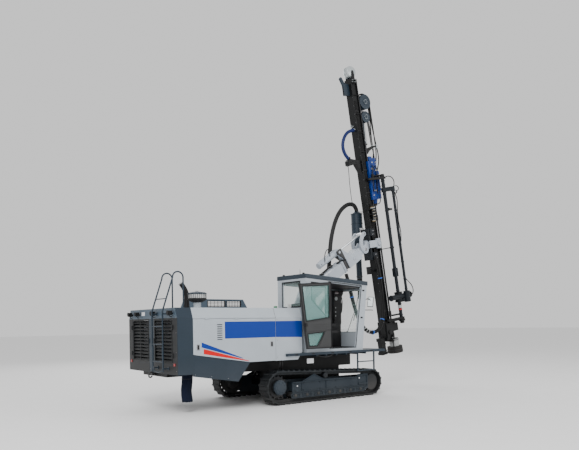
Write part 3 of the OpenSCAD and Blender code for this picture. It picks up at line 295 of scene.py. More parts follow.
class Piece:
    """One mesh in the making. It is filled in the place given, and then rides on a body."""

    def __init__(self, name, body, look, place=WORLD):
        self.name, self.body, self.look, self.place, self.bm = name, body, look, place, bmesh.new()
        self.line = []

    def _put(self, verts, matrix):
        bmesh.ops.transform(self.bm, matrix=matrix, verts=verts)

    def box(self, lo, hi, turn=None):
        lo, hi = Vector(lo), Vector(hi)
        made = bmesh.ops.create_cube(self.bm, size=1.0)["verts"]
        at = Matrix.Translation((lo + hi) / 2)
        self._put(made, self.place @ at @ (turn or WORLD) @ Matrix.Diagonal((*(hi - lo), 1)))
        return self

    def rod(self, a, b, r, sides=16, r2=None):
        a, b = Vector(a), Vector(b)
        made = bmesh.ops.create_cone(self.bm, cap_ends=True, segments=sides, radius1=r,
                                     radius2=r if r2 is None else r2,
                                     depth=(b - a).length)["verts"]
        at = Matrix.Translation((a + b) / 2) @ (b - a).to_track_quat("Z", "Y").to_matrix().to_4x4()
        self._put(made, self.place @ at)
        return self

    def ball(self, at, r, size=(1, 1, 1)):
        made = bmesh.ops.create_uvsphere(self.bm, u_segments=20, v_segments=12, radius=r)["verts"]
        self._put(made, self.place @ Matrix.Translation(Vector(at)) @ Matrix.Diagonal((*size, 1)))
        return self

    def turn(self, profile, at, toward=(0, 0, 1), sides=32):
        """A turned form: profile gives radius and height from at, along toward."""
        turn = Matrix.Translation(Vector(at)) @ Vector(toward).to_track_quat("Z", "Y").to_matrix().to_4x4()
        rings = []
        for r, h in profile:
            rings.append([self.bm.verts.new(self.place @ turn @ Vector(
                (r * math.cos(2 * math.pi * k / sides), r * math.sin(2 * math.pi * k / sides), h)))
                for k in range(sides)])
        for a, b in zip(rings, rings[1:]):
            for k in range(sides):
                self.bm.faces.new((a[k], a[(k + 1) % sides], b[(k + 1) % sides], b[k]))
        self.bm.faces.new(rings[0][::-1])
        self.bm.faces.new(rings[-1])
        return self

    def hexes(self, points, normal, r=0.014, h=0.010):
        """Bolt heads standing on points."""
        n = Vector(normal).normalized()
        for p in points:
            self.rod(Vector(p) - n * 0.002, Vector(p) + n * h, r, 6)
        return self

    def prism(self, outline, lo, hi, axis="y"):
        """An outline in x and z drawn along y, or in x and y along z, or in y and z along x."""
        rings = [[self.bm.verts.new(self.place @ Vector(ORDER[axis](a, b, t))) for a, b in outline]
                 for t in (lo, hi)]
        n = len(outline)
        faces = [self.bm.faces.new(rings[0]), self.bm.faces.new(rings[1][::-1])]
        faces += [self.bm.faces.new((rings[0][i], rings[1][i], rings[1][(i + 1) % n], rings[0][(i + 1) % n]))
                  for i in range(n)]
        bmesh.ops.recalc_face_normals(self.bm, faces=faces)
        return self

    def border(self, outline, inward, outward, lo, hi, axis="y"):
        """A strip along an outline, from inward inside it to outward outside it."""
        n = len(outline)
        loops = [[self.bm.verts.new(self.place @ Vector(ORDER[axis](q.x, q.y, t)))
                  for q in offset(outline, d)]
                 for t in (lo, hi) for d in (-inward, outward)]
        a, b, c, d = loops
        for i in range(n):
            j = (i + 1) % n
            for u, v in ((a, b), (c, d), (a, c), (b, d)):
                self.bm.faces.new((u[i], u[j], v[j], v[i]))
        return self

    def tube(self, points, r, sides=10, smooth=4, wave=0.0):
        """A hose or bar along a smooth line through points. wave makes ribs."""
        line = [self.place @ Vector(p) for p in curve_through(points, smooth)]
        self.line = line
        rings, side = [], None
        for i, p in enumerate(line):
            t = (line[min(i + 1, len(line) - 1)] - line[max(i - 1, 0)]).normalized()
            if side is None:
                side = t.orthogonal().normalized()
            side = (side - t * side.dot(t)).normalized()
            up = t.cross(side)
            rr = r + wave * (i % 2)
            rings.append([self.bm.verts.new(p
                                            + rr * (math.cos(2 * math.pi * k / sides) * side
                                                    + math.sin(2 * math.pi * k / sides) * up))
                          for k in range(sides)])
        for a, b in zip(rings, rings[1:]):
            for k in range(sides):
                self.bm.faces.new((a[k], a[(k + 1) % sides], b[(k + 1) % sides], b[k]))
        self.bm.faces.new(rings[0][::-1])
        self.bm.faces.new(rings[-1])
        return self

    def done(self, bevel=0.0, replaces=(), rounded=0):
        mesh = bpy.data.meshes.new(self.name)
        bmesh.ops.recalc_face_normals(self.bm, faces=self.bm.faces)
        self.bm.to_mesh(mesh)
        self.bm.free()
        mesh.shade_smooth()
        mesh.set_sharp_from_angle(angle=math.radians(35))
        mesh.materials.append(M[self.look])
        obj = bpy.data.objects.new(self.name, mesh)
        bpy.context.scene.collection.objects.link(obj)
        if bevel:
            edge = obj.modifiers.new("edges", "BEVEL")
            edge.width, edge.segments, edge.limit_method = bevel, 2, "ANGLE"
        if rounded:
            smooth = obj.modifiers.new("cushion", "SUBSURF")
            smooth.levels = smooth.render_levels = rounded
        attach(obj, self.body)
        if replaces:
            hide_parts(*replaces)
        return obj


def hose(name, body, points, r, look="hose", place=WORLD, smooth=4,
         sides=10, wave=0.0,
         replaces=()):
    """A free hose that leaves the object at its first point and goes back into it at its last."""
    piece = Piece(name, body, look, place).tube(points, r, sides, smooth, wave)
    line = piece.line
    length = sum((b - a).length for a, b in zip(line, line[1:]))
    obj = piece.done(replaces=replaces)
    return obj


def both(make):
    """Makes something on the near side, s = -1, and on the far side, s = 1."""
    for s, side in ((-1, "near"), (1, "far")):
        make(s, side)


# Hoses
SUCTION = [(2.8504, 0.710, 5.0484), (2.8445, 0.710, 5.173), (2.740, 0.705, 5.290), (2.560, 0.700, 5.300),
           (2.380, 0.695, 5.220),
           (2.200, 0.690, 5.070), (2.040, 0.680, 4.850), (1.910, 0.670, 4.570), (1.810, 0.660, 4.250),
           (1.750, 0.650, 3.930),
           (1.712, 0.644, 3.640), (1.690, 0.640, 3.440), (1.690, 0.640, 3.330)]
hose("suction_hose_ribbed", "feed_cradle", SUCTION, 0.0565, smooth=20, sides=20, wave=0.004,
     replaces=["suction_hose"])

BUNDLE = [(2.975, 3.74), (3.05, 3.45), (3.12, 3.12), (3.17, 2.80), (3.20, 2.48), (3.215, 2.20), (3.19, 1.93),
          (3.11, 1.72),
          (2.97, 1.60), (2.80, 1.56), (2.62, 1.59), (2.46, 1.69), (2.32, 1.85), (2.20, 2.05), (2.09, 2.30),
          (2.00, 2.56),
          (1.925, 2.80), (1.875, 3.02), (1.845, 3.20)]
LAY = [(0.0, 0.0, 0.020), (0.037, 0.6, 0.016), (0.037, 1.85, 0.018), (0.037, 3.1, 0.014),
       (0.037, 4.35, 0.017), (0.037, 5.6, 0.014)]
BUNDLE_Y = 0.055
AT_ENDS = {0: 0.033, 1: 0.012, 17: 0.020, 18: 0.048}    # it leans towards what carries its two ends


def make_hanging_bundle():
    """Bundle that hangs from the feed and rises again to the boom."""
    for i, (away, angle, r) in enumerate(LAY):
        pts = []
        for k, (x, z) in enumerate(BUNDLE):
            a, b = Vector(BUNDLE[max(k - 1, 0)]), Vector(BUNDLE[min(k + 1, len(BUNDLE) - 1)])
            t = (b - a).normalized()
            c, s = away * math.cos(angle + 0.12 * k), away * math.sin(angle + 0.12 * k)
            pts.append((x - t.y * c, BUNDLE_Y + AT_ENDS.get(k, 0) + (0.6 * s if k in (0, 18) else s),
                        z + t.x * c))
        hose(f"boom_feed_hose_{i}", "inner_boom", pts, r)
    wraps = Piece("hose_bundle_wraps", "inner_boom", "wrap")
    for k in [10.0, 10.5, 11.0, 11.5, 12.0, 12.5, 13.0]:
        i, f = int(k), k - int(k)
        a, b = Vector(BUNDLE[i]), Vector(BUNDLE[i + 1])
        at, t = a + (b - a) * f, (b - a).normalized()
        wraps.turn([(0.056, -0.006), (0.061, -0.006), (0.061, 0.006), (0.056, 0.006)],
                   (at.x, BUNDLE_Y, at.y), (t.x, 0, t.y))
    wraps.done()
    ties = Piece("hose_bundle_ties", "inner_boom", "tie_blue")
    for k in [2, 6, 9, 15]:
        a, b = Vector(BUNDLE[k]), Vector(BUNDLE[k + 1])
        t = (b - a).normalized()
        ties.turn([(0.055, -0.014), (0.063, -0.014), (0.063, 0.014), (0.055, 0.014)], (a.x, BUNDLE_Y, a.y),
                  (t.x, 0, t.y))
    ties.done()


make_hanging_bundle()


def make_flushing_hose():
    """Blue flushing hose behind the beam, and its thin cable."""
    hose("flushing_hose", "feed",
         [(-0.13, 0, 6.52), (-0.22, 0, 6.50), (-0.37, 0, 6.46), (-0.50, 0, 6.37), (-0.60, 0, 6.24),
                                   (-0.655, 0, 6.10), (-0.655, 0, 5.96), (-0.61, 0, 5.84), (-0.54, 0, 5.745),
                                   (-0.48, 0, 5.695)],
         0.046, "hose_blue", FEED, sides=14)
    hose("tripod_cable", "feed",
         [(-0.56, 0, 5.54), (-0.575, 0, 5.3), (-0.60, 0, 5.0), (-0.61, 0, 4.7), (-0.60, 0, 4.45),
                                  (-0.54, 0, 4.30), (-0.42, 0, 4.22), (-0.27, 0, 4.20), (-0.121, 0, 4.22)],
                                  0.009, "hose", FEED)


make_flushing_hose()


def make_drifter_hoses():
    """Drifter hoses over the two discs, down the front to the drifter."""
    for i, (y, r, x1, y1) in enumerate([(-0.045, 0.017, 0.60, -0.045), (-0.008, 0.017, 0.60, -0.088),
                                        (0.028, 0.014, 0.555, 0.020)]):
        hose(f"drifter_hose_{i}", "feed",
             [(0.135, y, 6.95), (0.118 + r, y, 7.12), (0.122, y, 7.30), (0.17, y, 7.44), (0.27, y, 7.515),
             (0.40, y, 7.515), (0.50, y, 7.45), (0.565, y, 7.32), (0.585, y, 7.15), (0.592, y, 6.8),
             (x1, (y + y1) / 2, 6.3),
             (x1, y1, 5.99)], r, "hose", FEED)
    for i, (y, r, x1, y1) in enumerate([(-0.020, 0.016, 0.515, -0.020), (0.025, 0.015, 0.510, 0.025)]):
        hose(f"drifter_hose_low_{i}", "feed",
             [(0.30, y, 7.025 + r), (0.40, y, 7.00), (0.445, y, 6.91), (0.470, y, 6.75),
             (0.49, y, 6.45), (x1, y1, 5.99)], r, "hose", FEED)
    for i, (y, pts) in enumerate([
            (-0.045, [(0.60, 5.98), (0.58, 5.80), (0.53, 5.60), (0.46, 5.38), (0.40, 5.20)]),
            (-0.088, [(0.60, 5.98), (0.62, 5.80), (0.60, 5.60), (0.53, 5.42), (0.48, 5.32), (0.45, 5.23)]),
            (0.020, [(0.535, 5.98), (0.55, 5.80), (0.54, 5.60), (0.52, 5.42), (0.485, 5.24), (0.45, 5.09)]),
            (-0.020, [(0.515, 5.98), (0.50, 5.84), (0.455, 5.70)])]):
        hose(f"drifter_inlet_hose_{i}", "drifter", [(x, y, z) for x, z in pts], 0.017, "hose", FEED)


make_drifter_hoses()


def make_changer_hoses():
    """Rod changer hoses."""
    for i, pts in enumerate([
            [(0.062, -0.03, 5.085), (0.13, -0.10, 5.11), (0.20, -0.18, 5.05), (0.22, -0.22, 4.93),
             (0.20, -0.21, 4.80)],
            [(0.19, -0.215, 4.64), (0.235, -0.23, 4.4), (0.20, -0.23, 4.1), (0.185, -0.225, 3.8),
             (0.21, -0.23, 3.5), (0.19, -0.215, 3.2)],
            [(0.20, -0.20, 2.10), (0.27, -0.21, 2.02), (0.37, -0.22, 1.90), (0.42, -0.22, 1.76),
             (0.39, -0.21, 1.64), (0.285, -0.19, 1.60)]]):
        hose(f"changer_hose_{i}", "rod_changer", [CHANGER + Vector(p) for p in pts], 0.013, "hose", FEED)


make_changer_hoses()


def make_boom_hoses():
    """Hose runs of the boom and the tilt cylinder."""
    hose("tilt_feed_hose", "tilt_barrel",
         [(1.36, 0.215, 3.668), (1.31, 0.17, 3.76), (1.24, 0.15, 3.84), (1.17, 0.14, 3.80),
          (1.13, 0.15, 3.70),
                                           (1.14, 0.18, 3.60), (1.17, 0.20, 3.52)], 0.012)
    for i, (y, d) in enumerate([(0.14, 0.012), (0.10, 0.014), (0.06, 0.012)]):
        hose(f"boom_top_hose_{i}", "outer_boom",
             [(0.35, y, 0.152 + d), (0.55, y, 0.168 + d), (0.8, y, 0.160 + d),
             (1.1, y, 0.166 + d), (1.35, y, 0.168 + d)], d, "hose", BOOM)


make_boom_hoses()

# Tracks
TRACK_OUT = 1.210        # outer face of the guard plates
DRIVE, IDLER = (-1.41, 0.40), (1.475, 0.335)


def track_details(s, side):
    face = s * TRACK_OUT
    out = lambda d: face + s * d
    trim = Piece(f"track_guard_trim_{side}", "carrier", "frame")
    # strips along the guard, gusset ribs, and the frames of the lower openings
    trim.box((-1.07, min(out(0), out(0.018)), 0.478), (0.96, max(out(0), out(0.018)), 0.498))
    trim.box((-1.07, min(out(0), out(0.016)), 0.262), (1.20, max(out(0), out(0.016)), 0.280))
    for x in (-0.80, -0.06):
        trim.box((x - 0.008, min(out(0), out(0.014)), 0.285), (x + 0.008, max(out(0), out(0.014)), 0.475))
    trim.prism([(-0.795, 0.502), (-0.43, 0.655), (-0.425, 0.640), (-0.77, 0.494)],
               *sorted((out(0), out(0.012))))
    trim.prism([(-0.43, 0.655), (-0.135, 0.522), (-0.150, 0.510), (-0.435, 0.638)],
               *sorted((out(0), out(0.012))))
    for k in range(7):
        x = -0.99 + 0.3433 * k
        trim.border([(x - 0.13, 0.140), (x + 0.13, 0.140), (x + 0.13, 0.235), (x - 0.13, 0.235)], 0.012, 0.0,
                    *sorted((out(0), out(0.014))))
    trim.border([(0.99, 0.23), (1.30, 0.23), (1.30, 0.54), (0.99, 0.54)], 0.014, 0.0,
                *sorted((out(0), out(0.012))))
    trim.box((1.0, min(out(0), out(0.030)), 0.30), (1.28, max(out(0), out(0.030)), 0.335))
    trim.done(bevel=0.003)
    bolts = Piece(f"track_guard_bolts_{side}", "carrier", "frame")
    bolts.hexes([(x, face, z) for x in (-0.99, -0.75, -0.25, 0.25, 0.75) for z in (0.30, 0.45)], (0, s, 0),
                0.015, 0.012)
    bolts.hexes([(-0.99 + 0.3433 * k + dx, face, 0.188) for k in range(7) for dx in (-0.075, 0.075)],
                (0, s, 0), 0.013, 0.012)
    bolts.hexes([(1.02 + 0.08 * k, face, 0.50) for k in range(4)], (0, s, 0), 0.012, 0.010)
    bolts.done()
    ends = Piece(f"roller_ends_{side}", "carrier", "dark")
    for k in range(7):
        ends.turn([(0.040, 0), (0.040, 0.010), (0.030, 0.016), (0.0002, 0.017)],
                  (-0.99 + 0.3433 * k, face, 0.188), (0, s, 0), 24)
    ends.done()
    plugs = Piece(f"grease_plugs_{side}", "carrier", "plate")
    for x, z in ((-0.937, 0.403), (1.03, 0.46)):
        plugs.turn([(0.017, 0), (0.017, 0.006), (0.012, 0.009), (0.0002, 0.010)], (x, face, z), (0, s, 0), 16)
    plugs.done()
    # final drive cover with its bolts
    hub = s * 1.190
    cover = Piece(f"final_drive_cover_{side}", "carrier", "slate")
    cover.turn([(0.169, -0.05), (0.172, 0), (0.172, 0.008), (0.150, 0.012), (0.146, 0.022), (0.095, 0.026),
                (0.090, 0.034), (0.0002, 0.036)], (DRIVE[0], hub, DRIVE[1]), (0, s, 0), 48)
    cover.done()
    cover_bolts = Piece(f"final_drive_bolts_{side}", "carrier", "frame")
    cover_bolts.hexes([(DRIVE[0] + 0.160 * math.cos(a), hub + s * 0.008, DRIVE[1] + 0.160 * math.sin(a))
                       for a in [2 * math.pi * k / 16 for k in range(16)]], (0, s, 0), 0.008, 0.007)
    cover_bolts.hexes([(DRIVE[0] + 0.120 * math.cos(a), hub + s * 0.022, DRIVE[1] + 0.120 * math.sin(a))
                       for a in [2 * math.pi * (k + 0.5) / 8 for k in range(8)]], (0, s, 0), 0.010, 0.008)
    cover_bolts.done()
    # sprocket ring behind the cover
    sprocket = Piece(f"sprocket_ring_{side}", "carrier", "dark")
    sprocket.turn([(0.245, 0), (0.245, 0.02), (0.225, 0.026), (0.215, 0.02), (0.215, 0)],
                  (DRIVE[0], s * 1.04, DRIVE[1]), (0, s, 0), 48)
    sprocket.done()
    # dark discs on the track's inner side, domed at the drive and flat at the idler: painted shade that fills
    # the underside where it lies in shadow
    guard = Piece(f"inner_shade_discs_{side}", "carrier", "dark")
    guard.turn([(0.300, 0), (0.300, 0.012), (0.180, 0.016), (0.165, 0.090), (0.130, 0.110), (0.0002, 0.112)],
               (DRIVE[0], s * 0.905, DRIVE[1]), (0, -s, 0), 40)
    guard.turn([(0.230, 0), (0.230, 0.012), (0.0002, 0.014)], (IDLER[0], s * 0.905, IDLER[1]), (0, -s, 0), 40)
    guard.done()
    # carrier roller under the upper run
    roller = Piece(f"carrier_roller_{side}", "carrier", "dark")
    roller.turn([(0.045, -0.16), (0.070, -0.15), (0.070, -0.06), (0.050, -0.05), (0.050, -0.03),
                 (0.070, -0.02), (0.070, 0.06), (0.045, 0.07)], (-0.056, s * 1.13, 0.600), (0, s, 0), 32)
    roller.done()


both(track_details)


def loop_frames(drive_r, idler_r, x0, x1, n):
    """n places round the track's loop: where each is, and its outward direction."""
    run = math.hypot(x1 - x0, drive_r - idler_r)
    slope = math.asin((drive_r - idler_r) / run)
    flat = math.sqrt(run * run - (drive_r - idler_r) ** 2)
    parts = [x1 - x0, idler_r * (math.pi - 2 * slope), flat, drive_r * (math.pi + 2 * slope)]
    total, out = sum(parts), []
    for k in range(n):
        d = (k + 0.5) * total / n
        if d < parts[0]:
            out.append((Vector((x0 + d, 0, 0)), Vector((0, 0, -1))))
            continue
        d -= parts[0]
        if d < parts[1]:
            a = -math.pi / 2 + d / idler_r
            n_ = Vector((math.cos(a), 0, math.sin(a)))
            out.append((Vector((x1, 0, idler_r)) + idler_r * n_, n_))
            continue
        d -= parts[1]
        if d < parts[2]:
            a = math.pi / 2 - 2 * slope
            n_ = Vector((math.cos(a), 0, math.sin(a)))
            t_ = Vector((-math.sin(a), 0, math.cos(a)))
            out.append((Vector((x1, 0, idler_r)) + idler_r * n_
                        + d * Vector((-math.cos(2 * slope), 0, math.sin(2 * slope))), n_))
            continue
        d -= parts[2]
        a = math.pi / 2 - 2 * slope + d / drive_r
        n_ = Vector((math.cos(a), 0, math.sin(a)))
        out.append((Vector((x0, 0, drive_r)) + drive_r * n_, n_))
    return out


def shoe_details(s, side):
    """Stiffening lips across each shoe and the bolts beside them."""
    lips = Piece(f"shoe_lips_{side}", "carrier", "track")
    bolts = Piece(f"shoe_bolts_{side}", "carrier", "steel")
    for at, n in loop_frames(0.400, 0.335, -1.41, 1.475, 52):
        base = at - n * 0.034
        t = Vector((-n.z, 0, n.x))
        turn = Matrix((t, Vector((0, 1, 0)), n)).transposed().to_4x4()
        for dx in (-0.045, 0.045):
            c = base + t * dx * 0.9
            lips.bm.verts.ensure_lookup_table()
            made = bmesh.ops.create_cube(lips.bm, size=1.0)["verts"]
            lips._put(made, Matrix.Translation(c + Vector((0, s * 1.06, 0))) @ turn @ Matrix.Diagonal((0.012,
                    0.334, 0.026, 1)))
        for y in (-0.035, 0.035):
            bolts.rod(base + n * 0.004 + t * 0.018 + Vector((0, s * 1.06 + y, 0)),
                      base + n * 0.016 + t * 0.018 + Vector((0, s * 1.06 + y, 0)), 0.009, 6)
    lips.done()
    bolts.done()


both(shoe_details)


# Carrier: panels, stripes, vents, latches
NEAR = HALF + 0.0006


def side_details(s, side):
    door = f"door_{side}"
    sides = lambda d0, d1: sorted((s * (NEAR + d0), s * (NEAR + d1)))
    skin = sides(0, 0.0006)
    stripe = Piece(f"side_stripe_{side}", door, "stripe_blue")
    stripe.prism([(-2.865, 1.552), (-1.548, 1.552), (-1.548, 1.911), (-2.865, 1.911)], *skin)
    stripe.done()
    front_stripe = Piece(f"side_stripe_front_{side}", "carrier", "stripe_blue")
    front_stripe.prism([(-1.539, 1.552), (-0.792, 1.535), (-0.792, 1.911), (-1.539, 1.911)], *skin)
    front_stripe.done()
    blue_wedge = Piece(f"wedge_stripe_blue_{side}", door, "stripe_blue")
    blue_wedge.prism([(-3.423, 1.489), (-3.425, 1.386), (-2.430, 1.112), (-2.420, 1.122)], *skin)
    blue_wedge.done()
    red_wedge = Piece(f"wedge_stripe_red_{side}", door, "stripe_red")
    red_wedge.prism([(-3.375, 1.352), (-3.377, 1.246), (-2.262, 1.046), (-2.262, 1.056)], *skin)
    red_wedge.done()
    # vent: eight pressed slots
    slots = Piece(f"vent_slots_{side}", door, "gasket")
    lips = Piece(f"vent_lips_{side}", door, "white")
    for k in range(8):
        z = 1.530 + 0.0445 * k
        slots.box((-3.050, sides(0, 0.0012)[0], z), (-2.926, sides(0, 0.0012)[1], z + 0.017))
        lips.prism([(-3.056, z + 0.017), (-2.920, z + 0.017), (-2.926, z + 0.027), (-3.050, z + 0.027)],
                   *sides(0, 0.010))
    slots.done()
    lips.done(bevel=0.002)
    # flush latches
    dish = Piece(f"latch_dishes_{side}", door, "steel")
    grip = Piece(f"latch_grips_{side}", door, "gasket")
    for x, z in ((-1.652, 1.40), (-3.502, 1.389)):
        dish.border([(x - 0.030, z - 0.055), (x + 0.030, z - 0.055), (x + 0.030, z + 0.055),
                     (x - 0.030, z + 0.055)], 0.010, 0.004, *sides(0, 0.005))
        grip.box((x - 0.020, sides(0, 0.002)[0], z - 0.045), (x + 0.020, sides(0, 0.002)[1], z + 0.045))
        grip.rod((x, s * NEAR, z - 0.020), (x, s * (NEAR + 0.010), z - 0.020), 0.012, 16)
    dish.done(bevel=0.002)
    grip.done()
    # small edge bolts of the fixed panel, the skirt and the rear corner
    bolts = Piece(f"panel_bolts_{side}", "carrier", "steel")
    bolts.hexes([(-1.50, s * HALF, z) for z in (1.10, 1.48, 1.95)]
                + [(-0.83, s * HALF, z) for z in (1.48, 1.95)], (0, s, 0), 0.008, 0.005)
    bolts.hexes([(x, s * HALF, 0.83 + (x + 3.58) * -0.16) for x in (-3.58, -3.2, -2.8)], (0, s, 0), 0.008,
                0.005)
    bolts.done()
    # step slots in the walkway's side
    slot = Piece(f"walkway_slots_{side}", "carrier", "gasket")
    for x in (-1.05, -0.55, 0.05, 0.62, 1.35):
        edge = s * (1.2903 if s < 0 else 1.3003)
        slot.box((x, min(edge, edge + s * 0.001), 1.122), (x + 0.09, max(edge, edge + s * 0.001), 1.146))
    slot.done()


both(side_details)


def make_hood_top_details():
    """Seam over the hood where its rear half opens, with its rubber."""
    seam = Piece("hood_seam", "carrier", "gasket")
    seam.prism([(-1.231, 1.978), (-1.231, 2.0), (-1.1405, 2.2106), (1.1405, 2.2106), (1.231, 2.0),
                (1.231, 1.978), (1.2303, 1.978), (1.2303, 2.0),
                (1.14, 2.2103), (-1.14, 2.2103), (-1.2303, 2.0), (-1.2303, 1.978)], -1.548, -1.541, "x")
    seam.done()
    tread = Piece("hood_tread_strips", "carrier", "rubber")
    for y in (-0.75, -0.45, -0.15, 0.15, 0.45):
        tread.box((-2.95, y - 0.04, 2.2102), (-1.05, y + 0.04, 2.2135))
    tread.done()


make_hood_top_details()

AT = (-3.30, -0.84, 2.2103)


def make_air_precleaner():
    """Air pre-cleaner: neck, rim, ribbed bowl and domed lid."""
    neck = Piece("precleaner_neck", "carrier", "white", turned(AT, 0))
    neck.turn([(0.095, 0), (0.095, 0.010), (0.080, 0.014), (0.080, 0.118), (0.09, 0.13)], (0, 0, 0), sides=40)
    neck.done()
    rim = Piece("precleaner_rim", "carrier", "gasket", turned(AT, 0))
    rim.turn([(0.085, 0.115), (0.120, 0.128), (0.185, 0.165), (0.204, 0.178), (0.204, 0.196), (0.190, 0.205),
              (0.17, 0.21)], (0, 0, 0), sides=56)
    rim.done()
    bowl = Piece("precleaner_bowl", "carrier", "pale", turned(AT, 0))
    bowl.turn([(0.185, 0.204), (0.192, 0.208), (0.192, 0.292), (0.185, 0.296)], (0, 0, 0), sides=56)
    bowl.done()
    ribs = Piece("precleaner_ribs", "carrier", "dark_steel", turned(AT, 0))
    for k in range(28):
        a = 2 * math.pi * k / 28
        c, sine = math.cos(a), math.sin(a)
        ribs.rod((0.193 * c, 0.193 * sine, 0.208), (0.193 * c, 0.193 * sine, 0.292), 0.0045, 6)
    ribs.done()
    lid = Piece("precleaner_lid", "carrier", "slate", turned(AT, 0))
    lid.turn([(0.190, 0.290), (0.205, 0.294), (0.206, 0.306), (0.190, 0.322), (0.150, 0.338), (0.090, 0.348),
              (0.040, 0.352), (0.038, 0.362), (0.0002, 0.364)],
             (0, 0, 0), sides=56)
    lid.done(replaces=["air_precleaner"])


make_air_precleaner()


def make_exhaust_pipe():
    """Exhaust tail pipe, bent to the rear."""
    pipe = Piece("exhaust_pipe", "carrier", "gasket")
    pipe.turn([(0.085, 0.0), (0.085, 0.012), (0.062, 0.018), (0.058, 0.10)], (-3.33, -0.42, 2.2103))
    path = [(-3.33, -0.42, 2.26), (-3.33, -0.42, 2.40), (-3.333, -0.42, 2.50), (-3.355, -0.42, 2.59),
            (-3.40, -0.42, 2.67), (-3.462, -0.42, 2.755)]
    pipe.tube(path, 0.054, sides=24)
    pipe.done(replaces=["exhaust"])
    mouth = Piece("exhaust_mouth", "carrier", "dark_steel")
    mouth.turn([(0.050, -0.012), (0.057, -0.012), (0.057, 0.006), (0.050, 0.006)], path[-1], (-0.59, 0, 0.81))
    mouth.done()


make_exhaust_pipe()


def make_guard_bars():
    """Bars in the guard's windows, its rim and stays."""
    bars = Piece("guard_bars", "carrier", "gasket")
    for x0, l in ((-1.99, 0.52), (-1.43, 0.43)):
        bars.border([(x0, 2.305), (x0 + l, 2.305), (x0 + l, 2.455), (x0, 2.455)], 0.012, 0.004, 1.052, 1.098)
        for k in range(1, 5):
            bars.rod((x0 + l * k / 5, 1.075, 2.305), (x0 + l * k / 5, 1.075, 2.455), 0.006, 8)
        for z in (2.343, 2.380, 2.417):
            bars.rod((x0, 1.075, z), (x0 + l, 1.075, z), 0.006, 8)
    bars.done()


make_guard_bars()

REAR_X = -3.97          # the rear face


def make_rear_face():
    """Rear: louvre frames, hinges, handles, face, blank plate, lamps and hook."""
    frames = Piece("louvre_frames", "carrier", "grille")
    for s in (-1, 1):
        y0, y1 = sorted((s * 0.975, s * 0.175))
        frames.border([(y0, 1.095), (y1, 1.095), (y1, 1.955), (y0, 1.955)], 0.0, 0.012, REAR_X - 0.010,
                      REAR_X - 0.0006, "x")
        frames.box((REAR_X - 0.014, s * 0.575 - 0.010, 1.085), (REAR_X - 0.0006, s * 0.575 + 0.010, 1.965))
        frames.rod((REAR_X - 0.02, s * 1.035, 1.18), (REAR_X - 0.02, s * 1.035, 1.28), 0.014, 12)
        frames.rod((REAR_X - 0.02, s * 1.035, 1.76), (REAR_X - 0.02, s * 1.035, 1.86), 0.014, 12)
        frames.box((REAR_X - 0.022, s * 0.145 - 0.012, 1.46), (REAR_X - 0.0006, s * 0.145 + 0.012, 1.58))
    frames.done(bevel=0.003)
    cover = Piece("rear_face_cover", "carrier", "grille")
    for s in (-1, 1):
        cover.box((REAR_X - 0.0030, min(s * 1.034, s * 1.2285), 0.845),
                  (REAR_X - 0.0004, max(s * 1.034, s * 1.2285), 2.000))
        cover.box((REAR_X - 0.0030, min(s * 0.115, s * 1.034), 0.845),
                  (REAR_X - 0.0004, max(s * 0.115, s * 1.034), 1.036))
    cover.done()
    crown = Piece("rear_top_band", "carrier", "slate_light")
    crown.prism([(-1.2285, 2.001), (1.2285, 2.001), (1.138, 2.2085), (-1.138, 2.2085)], REAR_X - 0.0030,
                REAR_X - 0.0004, "x")
    crown.done()
    plate = Piece("rear_blank_plate", "carrier", "plate")
    plate.box((REAR_X - 0.006, 0.33, 2.070), (REAR_X - 0.0032, 0.50, 2.150))
    plate.done(bevel=0.001)
    bolts = Piece("rear_bolts", "carrier", "steel")
    bolts.hexes([(REAR_X, s * y, z) for s in (-1, 1) for y in (0.06, 1.18) for z in (0.92, 1.3, 1.7, 2.0)],
                (-1, 0, 0), 0.009, 0.006)
    bolts.done()
    lenses = Piece("rear_lamp_lenses", "carrier", "lens")
    markers = Piece("rear_marker_lenses", "carrier", "red_lens")
    rims = Piece("rear_lamp_rims", "carrier", "gasket")
    for y in (1.0, 0.6, -0.23, -1.04):
        lenses.turn([(0.036, 0), (0.034, 0.006), (0.020, 0.011), (0.0002, 0.012)], (-4.080, y, 2.112),
                    (-1, 0, 0), 24)
        rims.turn([(0.036, 0), (0.044, 0), (0.046, 0.016), (0.040, 0.016)], (-4.080, y, 2.112), (-1, 0, 0),
                  24)
        rims.tube([(-4.05, y, 2.06), (-4.03, y, 2.03), (-3.99, y, 2.03)], 0.008, 8)
    for s in (-1, 1):
        markers.box((REAR_X - 0.016, s * 1.10 - 0.030, 1.020), (REAR_X - 0.0006, s * 1.10 + 0.030, 1.075))
    lenses.done()
    markers.done(bevel=0.003)
    rims.done()
    hook = Piece("tow_hook", "carrier", "dark_steel")
    hook.tube([(-3.93, 0.01, 0.83), (-4.00, 0.01, 0.84), (-4.035, 0.015, 0.80), (-4.03, 0.03, 0.745),
               (-3.98, 0.045, 0.73), (-3.95, 0.045, 0.76)], 0.016, 10)
    hook.box((-3.985, -0.03, 0.775), (-3.90, 0.06, 0.86))
    hook.done()


make_rear_face()

LADDER_X = -4.095


